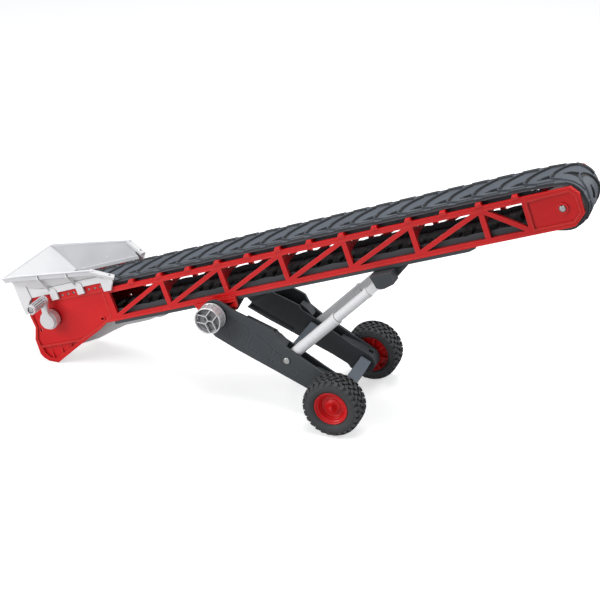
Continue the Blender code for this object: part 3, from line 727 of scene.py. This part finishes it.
def belt_rails():
    """Dark grey ledges that close the gap under the belt's edges and stand in for the shade there, and the walls
    beside its return run.
    """
    shade_ledge = [(-64, 26.4), (408.4, 26.4), (407.4, 30.6), (396, 32.2), (372, 32.9), (-64, 32.9)]
    tail_x, head_x, steps = -66, 392, 228
    wall = [(head_x, -6.3), (tail_x, -6.3)]
    for i in range(steps + 1):  # its upper edge is scalloped like the belt's edge
        along = (head_x - tail_x) * i / steps
        wall.append((tail_x + along, 4.0 + 1.1 * abs(math.sin(math.pi * (along + 9) / CHEVRON_PITCH))))
    for side, sign in SIDES:
        # The ledges' dark grey is painted shade under the belt's edges.
        for name, loop, low, high in (("shade_ledge", shade_ledge, 23.2, 24.4), ("wall", wall, 29.8, 30.3)):
            mesh = on_side(sheet([loop], low, high), sign, BOOM)
            piece_from(mesh, f"belt_{name}_{side}", GREY, "boom")


def carried(node, width, cuts=(), adds=(), segments=2, look=None):
    """A CAD node with rounded edges, after meshes in the frame's metres are cut out of it or joined."""
    mesh = cad_mesh(node)
    for tools, operation in ((cuts, "DIFFERENCE"), (adds, "UNION")):
        if tools:
            mesh = tidied(carved(mesh, tools, operation))
    piece = piece_from(mesh, f"{node}_finished", look or SLOT_OF[NODE_SLOT[node]], NODE_BODY[node], [node])
    return rounded(piece, width, segments)


def tidied(mesh):
    """A carved mesh with its flat faces whole again."""
    work = bmesh.new()
    work.from_mesh(mesh)
    make_faces_whole(work, 0.01 * MM)
    work.to_mesh(mesh)
    work.free()
    return mesh


# ---------------------------------------------------------------- hopper

RIM = ((-68.5, 43.6, 56.2), (-163.0, 48.6, 69.8), (-177.8, 50.2, 70.4))  # front, bend and rear corner
FLOOR = ((-60.0, 31.4, 40.6), (-141.6, 31.4, 40.6))
LEG_Y = (34.8, 37.4)
STRIP_TOP = Vector((-70.6, 43.4, 56.4))  # the slanted strip at the left front corner
STRIP_FOOT = Vector((-51.8, 33.4, 41.6))
WALL = 1.5  # thickness of the sloping walls
LIP = ((-0.4, 0.0), (2.0, 0.0), (2.2, -0.4), (2.3, -5.6), (1.8, -6.2), (1.0, -6.2), (0.9, -1.3), (-0.4, -1.3))


def around_three_sides(half):
    """Points from the right front, around the back, to the left front."""
    return [(x, -y, z) for x, y, z in half] + [(x, y, z) for x, y, z in reversed(half)]


def tub():
    """The sloping walls as one thin shell."""
    work = bmesh.new()
    top = [work.verts.new(point) for point in around_three_sides(RIM)]
    low = [work.verts.new(point) for point in around_three_sides(FLOOR)]
    work.faces.new((low[0], low[1], top[1], top[0]))
    work.faces.new((low[1], top[2], top[1]))
    work.faces.new((low[1], low[2], top[3], top[2]))
    work.faces.new((low[2], top[4], top[3]))
    work.faces.new((low[2], low[3], top[5], top[4]))
    bmesh.ops.recalc_face_normals(work, faces=work.faces)
    mesh = bpy.data.meshes.new("tub")
    work.to_mesh(mesh)
    work.free()
    shell = bpy.data.objects.new("tub", mesh)
    bpy.context.scene.collection.objects.link(shell)
    skin = shell.modifiers.new("Thickness", "SOLIDIFY")
    skin.thickness = WALL
    skin.offset = 0
    skin.use_even_offset = True
    evaluated(shell)
    mesh = shell.data
    bpy.data.objects.remove(shell)
    return mesh


def swept(path, profile):
    """A bar along a level path. Profile points are (outwards, up), and the path runs clockwise."""
    work = bmesh.new()
    rings = []
    for i, (x, y, z) in enumerate(path):
        ways = []
        for a, b in ((i - 1, i), (i, i + 1)):
            if a >= 0 and b < len(path):
                ways.append(Vector((path[b][0] - path[a][0], path[b][1] - path[a][1])).normalized())
        outs = [Vector((way.y, -way.x)) for way in ways]
        out = sum(outs, Vector((0, 0))).normalized()
        out /= out.dot(outs[0])
        rings.append([work.verts.new((x + out.x * o, y + out.y * o, z + h)) for o, h in profile])
    for ring, after in zip(rings, rings[1:]):
        for k in range(len(profile)):
            n = (k + 1) % len(profile)
            work.faces.new((ring[k], after[k], after[n], ring[n]))
    work.faces.new(rings[0])
    work.faces.new(list(reversed(rings[-1])))
    return from_bmesh(work, "swept")


def strip_axes(*order):
    """The strip's axes as a matrix, with the named ones as x, y and z."""
    along = (STRIP_FOOT - STRIP_TOP).normalized()
    side = (Vector((0, 1, 0)) - along * along.y).normalized()
    ways = {"along": along, "side": side, "up": along.cross(side)}
    return Matrix([ways[name] for name in order]).transposed().to_4x4()


def hopper_sides():
    """The pieces of the hopper's left side below its walls."""
    column = [
        (-176.6, 62.5), (-161.6, 55.0), (-160.7, 38.6), (-164.5, 36.0), (-169.8, 29.5), (-172.6, 21.6),
        (-175.6, 21.6), (-177.0, 30),
    ]  # fmt: skip
    skirt = [
        (-161.5, 38.7), (-161.5, 54.0), (-156, 51.0), (-150, 47.0), (-144, 45.9), (-60.5, 45.9),
        (-57.5, 42.0), (-58.5, 38.7),
    ]  # fmt: skip
    front_leg = [
        (-69.0, 41.0), (-68.8, 28.8), (-59.8, 28.4), (-57.2, 32.8), (-54.2, 37.2), (-53.4, 41.2),
        (-60.0, 43.0), (-69, 44.5),
    ]  # fmt: skip
    half = [sheet([column], 35.0, 37.6), sheet([skirt], 34.9, 36.4)]
    half.append(sheet([[(-162.0, 38.7), (-162.0, 40.8), (-60.5, 40.8), (-60.5, 38.7)]], 30.2, 36.0))
    half.append(sheet([[(-144.0, 36.6), (-144.0, 41.2), (-58.5, 41.2), (-58.5, 36.6)]], 29.9, 31.2))
    for left, right in ((-135.9, -126.6), (-101.4, -92.6)):
        leg = [(left, 31.2), (right, 31.6), (right, 42.6), (left + 1.6, 47.0), (left, 47.0)]
        half.append(sheet([leg], *LEG_Y))
        share = (left - RIM[0][0]) / (RIM[1][0] - RIM[0][0])
        rim_y = RIM[0][1] + (RIM[1][1] - RIM[0][1]) * share
        rim_z = RIM[0][2] + (RIM[1][2] - RIM[0][2]) * share
        gusset = [(34.9, 39.0), (37.3, 41.5), (rim_y + 1.2, rim_z - 5.2), (rim_y, rim_z - 1.0)]
        half.append(sheet([gusset], left + 0.1, left + 1.5, "X"))
    half.append(sheet([front_leg], *LEG_Y))
    strip = box((0, (STRIP_FOOT - STRIP_TOP).length), (-3.3, 3.3), (-3.2, 0))
    strip.transform(Matrix.Translation(STRIP_TOP) @ strip_axes("along", "side", "up"))
    half.append(strip)
    return half


def hopper():
    tail_wall = sheet([[(-37.4, 22.0), (37.4, 22.0), (37.4, 64.0), (-37.4, 64.0)]], -176.8, -175.2, "X")
    meshes = [tail_wall]
    for mesh in hopper_sides():
        meshes += [flipped(mesh), mesh]
    mesh = placed(gathered(meshes), BOOM)
    rounded(piece_from(mesh, "hopper_moulded", WHITE, "boom", ["hopper"]), 0.3)
    walls = piece_from(placed(tub(), BOOM), "hopper_walls", WHITE, "boom")
    walls.data.materials.append(SHADED)
    for face in walls.data.polygons:  # painted shade: the insides of the side walls get the shaded finish, to look darker than the sloping back
        inwards = -math.copysign(1, face.center.y) * face.normal.y
        face.material_index = 1 if inwards > 0.5 else 0
    lip = placed(swept(around_three_sides(RIM), LIP), BOOM)
    rounded(piece_from(lip, "hopper_lip", LIP_SHADED, "boom"), 0.3)
    screws = []
    for sign in (-1, 1):
        screw = rod(1.0, -0.4, 0.25, (0, 0), 20)
        middle = Matrix.Translation(STRIP_TOP + (STRIP_FOOT - STRIP_TOP).normalized() * 20.5)
        screw.transform(middle @ strip_axes("side", "up", "along"))
        screws.append(screw if sign > 0 else flipped(screw))
    piece_from(placed(gathered(screws), BOOM), "hopper_screws", GREY, "boom")


# ---------------------------------------------------------------- crank, grip and knob


BLOCK_FACES = ((0, 1, 2, 3), (7, 6, 5, 4), (0, 4, 5, 1), (1, 5, 6, 2), (2, 6, 7, 3), (3, 7, 4, 0))
BAR_FOOT = 0.4  # how deep a bar goes into its cylinder


def bars_around(radius, top, y_low, y_high, count, share):
    """Raised bars along y around a cylinder."""
    bars = []
    half = math.pi / count * share
    for i in range(count):
        middle = 2 * math.pi * i / count
        work = bmesh.new()
        corners = []
        for y in (y_low, y_high):
            low = radius - BAR_FOOT
            for r, a in ((low, -half), (low, half), (top, half * 0.86), (top, -half * 0.86)):
                corners.append(work.verts.new((r * math.cos(middle + a), y, r * math.sin(middle + a))))
        for face in BLOCK_FACES:
            work.faces.new([corners[k] for k in face])
        bars.append(from_bmesh(work, "bar"))
    return bars


def crank_looks():
    """The crank's parts, and a finely fluted grip with painted shade in its dark valleys."""
    carried("crank_arm", 0.5, segments=3)
    for node, look in (("crank_shaft", SILVER), ("tail_drum", DRUM), ("grip_pin", None)):
        carried(node, 0.3, look=look)
    at = JOINTS["grip_spin"]["pos_m"]
    axes = turned_axes(Vector((at[0], 0, at[2])), BOOM_TURN)
    core = lathe(
        [
            (3.7, -69.4), (4.9, -69.4), (5.3, -69.0), (5.3, -66.6), (4.8, -66.2), (4.8, -49.0), (5.3, -48.6),
            (5.3, -46.9), (4.6, -46.4), (2.2, -46.4), (2.2, -67.0), (3.7, -67.0),
        ], 48, True
    )  # fmt: skip
    # Painted shade: a dark sleeve shows between the grip's flutes.
    valleys = lathe([(4.4, -66.6), (4.86, -66.6), (4.86, -48.6), (4.4, -48.6)], 48, True)
    piece_from(placed(valleys, axes), "crank_grip_valleys", DISH, "grip")
    mesh = gathered([core] + bars_around(4.8, 5.35, -66.4, -48.8, 14, 0.5))
    piece = piece_from(placed(mesh, axes), "crank_grip_fluted", CHROME, "grip", ["crank_grip"])
    rounded(piece, 0.12)


def rib_line(points, width, y_low, y_high):
    """A raised rib along a line of (x, z) points."""
    path = [Vector(point) for point in points]
    left, right = [], []
    for i, point in enumerate(path):
        way = (path[min(i + 1, len(path) - 1)] - path[max(i - 1, 0)]).normalized()
        normal = Vector((-way.y, way.x)) * width / 2
        left.append(tuple(point + normal))
        right.append(tuple(point - normal))
    return sheet([left + right[::-1]], y_low, y_high)


RIB_WIDTH = 0.9
RIB_FACE = -61.4


def knob_look():
    """The height knob: a dished face with three forking ribs, and flat flutes round its rim."""
    body = lathe(
        [
            (0, -58.4), (2.0, -58.6), (6.0, -58.4), (11.8, -57.6), (12.7, -58.6), (12.9, -61.9),
            (13.5, -62.6), (14.2, -62.3), (14.4, -61.6), (14.4, -60.2), (13.6, -59.9), (13.6, -50.6),
            (14.4, -50.2), (14.4, -49.2), (13.8, -48.4), (3.4, -48.4), (3.4, -57.6), (0, -57.6),
        ], 72
    )  # fmt: skip
    meshes = [body] + bars_around(13.6, 14.3, -60.1, -50.4, 18, 0.6)
    for k in range(3):
        lean = math.radians(-24 + 120 * k)
        node = Vector((math.cos(lean), math.sin(lean))) * 4.5
        meshes.append(rib_line([(0, 0), node * 0.5, node], RIB_WIDTH, RIB_FACE, -58.0))
        for sign in (-1, 1):
            away = lean + sign * math.radians(60)
            way = Vector((math.cos(away), math.sin(away)))
            start = node + way * 1.2 + node.normalized() * 0.35
            reach = -start.dot(way) + math.sqrt(start.dot(way) ** 2 - start.length_squared + 13.1**2)
            bend = start + way * (reach * 0.45)
            meshes.append(rib_line([node, start, bend, start + way * reach], RIB_WIDTH, RIB_FACE, -57.4))
    ribbed = placed(gathered(meshes), KNOB)
    rounded(piece_from(ribbed, "height_knob_ribbed", CHROME, "knob", ["height_knob"]), 0.1)
    valleys = lathe([(13.0, -60.0), (13.66, -60.0), (13.66, -50.5), (13.0, -50.5)], 72, True)
    piece_from(placed(valleys, KNOB), "height_knob_valleys", SHADED, "knob")
    dish = lathe([(0, -58.7), (2.0, -58.9), (6.0, -58.7), (12.3, -57.9), (12.3, -57.4), (0, -58.1)], 72)
    piece_from(placed(dish, KNOB), "height_knob_dish", DISH, "knob")
    wells = []
    for k in range(3):
        lean = math.radians(36 + 120 * k)
        wells.append(rod(1.75, -59.0, -57.9, (3.4 * math.cos(lean), 3.4 * math.sin(lean)), 5))
    piece_from(placed(gathered(wells), KNOB), "height_knob_wells", GREY, "knob")


# ---------------------------------------------------------------- undercarriage and wheels


ARM_FACE = 46.5  # grooves are cut from the arms' outer faces down to here
ARM_GAP = (33.0, 45.5)  # between an arm's two plates


def arms():
    """Arms with outlined panels on their outer faces, a block between their plates and capped ends."""
    panels = [
        [(13.2, 7.4), (28.5, 11.1), (41.1, 9.5), (43.9, -10.2), (25.0, -12.7)],
        [(45.2, 10.5), (69.8, 5.8), (72.5, -8.7), (46.2, -10.4)],
        [(72.8, 4.4), (81.4, 4.5), (82.0, -8.8), (74.8, -8.4)],
        [(94.8, -1.4), (101.7, 0.6), (102.9, -7.9), (95.6, -7.6)],
    ]
    lines = [
        [(102.0, 1.2), (126.7, 5.2), (126.7, 4.6), (102.0, 0.6)],
        [(8.3, 14.6), (8.8, 15.0), (13.2, 8.2), (12.7, 7.8)],
        [(112, -9.4), (126, -8.0), (126, -8.6), (112, -10.0)],
    ]
    end = (ARM_LENGTH, 0)
    cap_loop = [(116, 8.0), (140, 11.2)] + arc(11.5, end, 8, 105, 35)
    cap_loop += arc(9.9, end, 8, 35, 105) + [(140, 9.6), (116, 6.4)]
    block_loop = [(62, 2), (62, 17.3), (68, 16.8), (74, 15.4), (79, 13.4), (79, 2)]
    for side, sign in SIDES:
        grooves = []
        for panel in panels:
            middle = sum((Vector(point) for point in panel), Vector((0, 0))) / len(panel)
            core = [tuple(middle + (Vector(point) - middle) * 0.90) for point in panel]
            grooves.append(sheet([panel, core], ARM_FACE + 0.05, 48))
        grooves += [sheet([line], ARM_FACE, 48) for line in lines]
        hole = box((ARM_LENGTH - 3, ARM_LENGTH + 2.5), (36.5, 41.5), (5, 16))
        cap = carved(sheet([cap_loop], *ARM_GAP), [hole])
        block = sheet([block_loop], *ARM_GAP)
        tools = [[on_side(tool, sign, ARM) for tool in group] for group in (grooves, (block, cap))]
        carried(f"arm_{side}", 0.55, *tools, 3)
    for node in ("cross_beam", "axle_beam"):
        carried(node, 1.0, segments=3)
    for node in ("wheel_axle", "pivot_shaft"):
        carried(node, 0.25)
    for side, _ in SIDES:
        carried(f"strut_pin_{side}", 0.25)
        carried(f"rod_pin_{side}", 0.25)


def tread_block(middle, half, y_low, y_high, top_low, top_high, base, skew):
    """A tread block across y: its top's radius runs between two values, and its ends are skewed."""
    work = bmesh.new()
    corners = []
    for y, top, lean in ((y_low, top_low, -skew), (y_high, top_high, skew)):
        for r, a in ((base, -half), (base, half), (top, half * 0.84), (top, -half * 0.84)):
            angle = middle + a + lean
            corners.append(work.verts.new((r * math.cos(angle), y, r * math.sin(angle))))
    for face in BLOCK_FACES:
        work.faces.new([corners[k] for k in face])
    return from_bmesh(work, "block")


TREAD_COUNT = 27  # blocks in one row round the tyre
TREAD_ROWS = (  # offset and half width as shares of a pitch, y limits, top radii there, foot radius, skew
    (0.0, 0.27, 0.5, 5.6, 30.4, 30.4, 27.8, 0.16),
    (0.5, 0.25, 6.0, 9.6, 30.4, 30.1, 27.6, -0.12),
    (0.0, 0.29, 9.0, 13.2, 30.2, 28.2, 26.0, 0.0),
)


def tyre_mesh():
    half = [
        (28.3, 0), (28.3, 6), (28.0, 9.5), (27.2, 11.8), (26.0, 12.7), (24.0, 13.1), (23.4, 12.9),
        (22.8, 13.2), (20.0, 12.7), (18.4, 11.4), (17.5, 10.4),
    ]  # fmt: skip
    inner = [(19.4, -4), (19.6, -10.8), (20.4, -12.2), (21.4, -12.9)] + [(r, -y) for r, y in half[7:0:-1]]
    profile = inner + half + [(17.5, -2)]
    meshes = [lathe(profile, 84, True)]
    pitch = 2 * math.pi / TREAD_COUNT
    for i in range(TREAD_COUNT):
        for sign in (-1, 1):
            shift = i if sign > 0 else i + 0.5  # one side's rows are half a pitch behind the other's
            for offset, width, *limits, skew in TREAD_ROWS:
                block = tread_block(pitch * (offset + shift), pitch * width, *limits, pitch * skew)
                meshes.append(block if sign > 0 else flipped(block))
    return gathered(meshes)


def rim_mesh():
    profile = [
        (0, 12.2), (1.5, 11.9), (2.5, 11.0), (3.4, 8.8), (4.6, 6.4), (6.2, 5.3), (7.6, 5.1), (8.1, 4.2),
        (10.4, 3.7), (11.6, 4.1), (12.2, 5.6), (12.9, 6.2), (13.4, 8.0), (14.2, 9.0), (15.2, 9.4),
        (15.7, 10.6), (16.4, 11.1), (17.2, 10.9), (17.4, 10.2), (17.4, -2.0), (19.3, -4.0), (19.3, -10.8),
        (18.9, -11.0), (18.5, -10.6), (18.3, -6.0), (6.0, -6.6), (5.8, -12.0), (3.4, -12.4), (3.4, 8.3),
        (0, 8.3),
    ]  # fmt: skip
    meshes = [lathe(profile, 72)]
    for k in range(8):
        rib = sheet([[(5.2, -5.0), (18.5, -5.0), (18.5, -10.2), (5.2, -9.2)]], -0.7, 0.7, "Z")
        rib.transform(Matrix.Rotation(math.radians(45 * k + 10), 4, "Y"))
        meshes.append(rib)
    return gathered(meshes)


def wheels():
    for side, sign in SIDES:
        axes = WHEEL @ Matrix.Translation((0, sign * WHEEL_Y, 0))
        for name, mesh, look, width in (("tyre", tyre_mesh(), TYRE, 0.22), ("rim", rim_mesh(), RED, 0.2)):
            node = f"{name}_{side}"
            piece = piece_from(on_side(mesh, sign, axes), f"{node}_moulded", look, f"wheel_{side}", [node])
            rounded(piece, width)


def about_x(mesh):
    """A mesh turned about y, stood along x instead."""
    mesh.transform(Matrix.Rotation(-math.pi / 2, 4, "Z"))
    return mesh


def struts():
    """Barrels with a collar and a cross bore at the foot; the rods get a sleeve with a collar."""
    for side, sign in SIDES:
        axes = STRUT @ Matrix.Translation((0, sign * STRUT_Y, 0))
        barrel = lathe(
            [
                (0, 14), (5.15, 14), (5.15, 72), (6.1, 72), (6.4, 71.6), (6.4, 69.4), (6.1, 69.0),
                (5.85, 68.6), (5.85, -2.6), (4.6, -4.6), (3.0, -5.0), (0, -5.0),
            ], 48
        )  # fmt: skip
        barrel = placed(carved(about_x(barrel), [rod(2.8, -12, 12)]), axes)
        node = f"strut_barrel_{side}"
        rounded(piece_from(barrel, f"{node}_turned", SILVER, f"barrel_{side}", [node]), 0.3)
        carried(f"strut_rod_{side}", 0.5, segments=3)
        collar = [(4.4, 60), (4.9, 60), (4.9, 113.4), (5.3, 113.8), (5.3, 118.6), (4.4, 119.0)]
        collar = about_x(lathe(collar, 40, True))
        piece = piece_from(placed(collar, axes), f"strut_collar_{side}", SILVER, f"rod_{side}")
        rounded(piece, 0.15)


# ---------------------------------------------------------------- the rest of the frame


def dress_frame():
    """Gives every CAD node its finish."""
    for name, node in NODES.items():
        node.data.materials.clear()
        node.data.materials.append(SLOT_OF[NODE_SLOT[name]])


BRACKET_RIBS = (
    ((75.6, -17.2), (77.2, -16.2), (78.4, -6.0), (76.8, -6.0)),
    ((60.5, -10.2), (77.4, -10.2), (77.4, -9.0), (60.5, -9.0)),
    ((60.5, -15.8), (76.0, -15.8), (76.0, -14.8), (60.5, -14.8)),
    ((59.6, -24.8), (61.0, -24.4), (61.0, -6.0), (59.6, -6.0)),
    ((32.2, -10.0), (44.0, -10.0), (44.0, -9.0), (31.8, -9.0)),
)


def small_parts():
    """The remaining nodes, with ribs on the pivot brackets and two hinge plates inside them."""
    for i in range(6):
        carried(f"bulkhead_{i + 1}", 0.3)
    for side, sign in SIDES:
        ribs = [on_side(sheet([rib], 37.6, 38.5), sign, BOOM) for rib in BRACKET_RIBS]
        carried(f"pivot_bracket_{side}", 0.3, (), ribs)
    plate = sheet([[(58, -7), (83.6, -7), (83.4, -11), (71, -22), (58, -24)]], 27.0, 29.4)
    plates = placed(gathered([plate, flipped(plate)]), BOOM)
    rounded(piece_from(plates, "hinge_plates", GREY, "boom"), 0.4)
    for node in ("belt_tray", "strut_bracket", "tow_bar"):
        carried(node, 0.5)
    for node, look in (("tow_pin", None), ("head_axle", None), ("head_drum", DRUM)):
        carried(node, 0.3, look=look)


# ---------------------------------------------------------------- room, light and camera


def area(name, at, target, size, power):
    """A rectangular light at a place, turned to a target."""
    light = bpy.data.lights.new(name, "AREA")
    light.shape = "RECTANGLE"
    light.size, light.size_y = size
    light.energy = power
    lamp = bpy.data.objects.new(name, light)
    lamp.location = at
    lamp.rotation_euler = (Vector(target) - Vector(at)).to_track_quat("-Z", "Y").to_euler()
    bpy.context.scene.collection.objects.link(lamp)


def camera_only(tree, seen, others, output):
    """Joins two shaders so that only the camera sees the first."""
    path = tree.nodes.new("ShaderNodeLightPath")
    mix = tree.nodes.new("ShaderNodeMixShader")
    tree.links.new(path.outputs["Is Camera Ray"], mix.inputs["Fac"])
    tree.links.new(others, mix.inputs[1])
    tree.links.new(seen, mix.inputs[2])
    tree.links.new(mix.outputs["Shader"], output.inputs["Surface"])


def room():
    """A white floor and world as the camera sees them, and softer ones for the light on the object."""
    work = bmesh.new()
    bmesh.ops.create_grid(work, x_segments=1, y_segments=1, size=6)
    mesh = from_bmesh(work, "floor")
    mesh.transform(Matrix.Translation((0, 0, -0.0006)))
    floor = bpy.data.objects.new("floor", mesh)
    bpy.context.scene.collection.objects.link(floor)
    look = bpy.data.materials.new("pale_floor")
    look.use_nodes = True
    tree = look.node_tree
    shader = tree.nodes["Principled BSDF"]
    shader.inputs["Base Color"].default_value = (0.8, 0.8, 0.8, 1)
    shader.inputs["Roughness"].default_value = 0.95
    shader.inputs["Specular IOR Level"].default_value = 0.1
    shader.inputs["Emission Color"].default_value = (1, 1, 1, 1)
    shader.inputs["Emission Strength"].default_value = 0.55
    bounce = tree.nodes.new("ShaderNodeBsdfDiffuse")
    bounce.inputs["Color"].default_value = (0.55, 0.55, 0.55, 1)
    camera_only(tree, shader.outputs["BSDF"], bounce.outputs["BSDF"], tree.nodes["Material Output"])
    mesh.materials.append(look)

    world = bpy.data.worlds.new("studio")
    world.use_nodes = True
    tree = world.node_tree
    white = tree.nodes["Background"]
    white.inputs["Color"].default_value = (1, 1, 1, 1)
    white.inputs["Strength"].default_value = 1.0
    soft = tree.nodes.new("ShaderNodeBackground")
    soft.inputs["Color"].default_value = (0.95, 0.97, 1.0, 1)
    soft.inputs["Strength"].default_value = 0.37
    camera_only(tree, white.outputs["Background"], soft.outputs["Background"], tree.nodes["World Output"])
    bpy.context.scene.world = world
    middle = (0, 0, 0.14)
    area("key", (-0.85, -0.8, 0.65), (-0.15, 0, 0.1), (0.6, 0.5), 7.5)
    area("top", (0.15, 0.1, 1.7), middle, (1.3, 0.8), 17)
    area("fill", (-0.35, -1.1, 0.14), (0.05, 0, 0.05), (0.5, 0.3), 1.4)
    area("rim", (1.1, 0.9, 0.9), middle, (0.8, 0.6), 7)


def camera():
    """The photo's view: from the right and ahead, looking down."""
    turn, tilt, distance = math.radians(21.10), math.radians(23.88), 1.3449
    ahead = Vector((-math.sin(turn) * math.cos(tilt), math.cos(turn) * math.cos(tilt), -math.sin(tilt)))
    target = pivot_at + Vector((0.0715, 0, 0.043))
    eye = bpy.data.cameras.new("camera")
    eye.sensor_width = 36
    eye.lens = 80.1
    eye.shift_x = 0.0059
    eye.shift_y = -0.0518
    eye.clip_end = 20
    seat = bpy.data.objects.new("camera", eye)
    seat.location = target - ahead * distance
    seat.rotation_euler = ahead.to_track_quat("-Z", "Y").to_euler()
    bpy.context.scene.collection.objects.link(seat)
    bpy.context.scene.camera = seat
    bpy.context.scene.view_settings.view_transform = "Standard"


dress_frame()
belt_look()
side_frames()
belt_rails()
saddles()
small_parts()
hopper()
crank_looks()
knob_look()
arms()
wheels()
struts()
room()
camera()
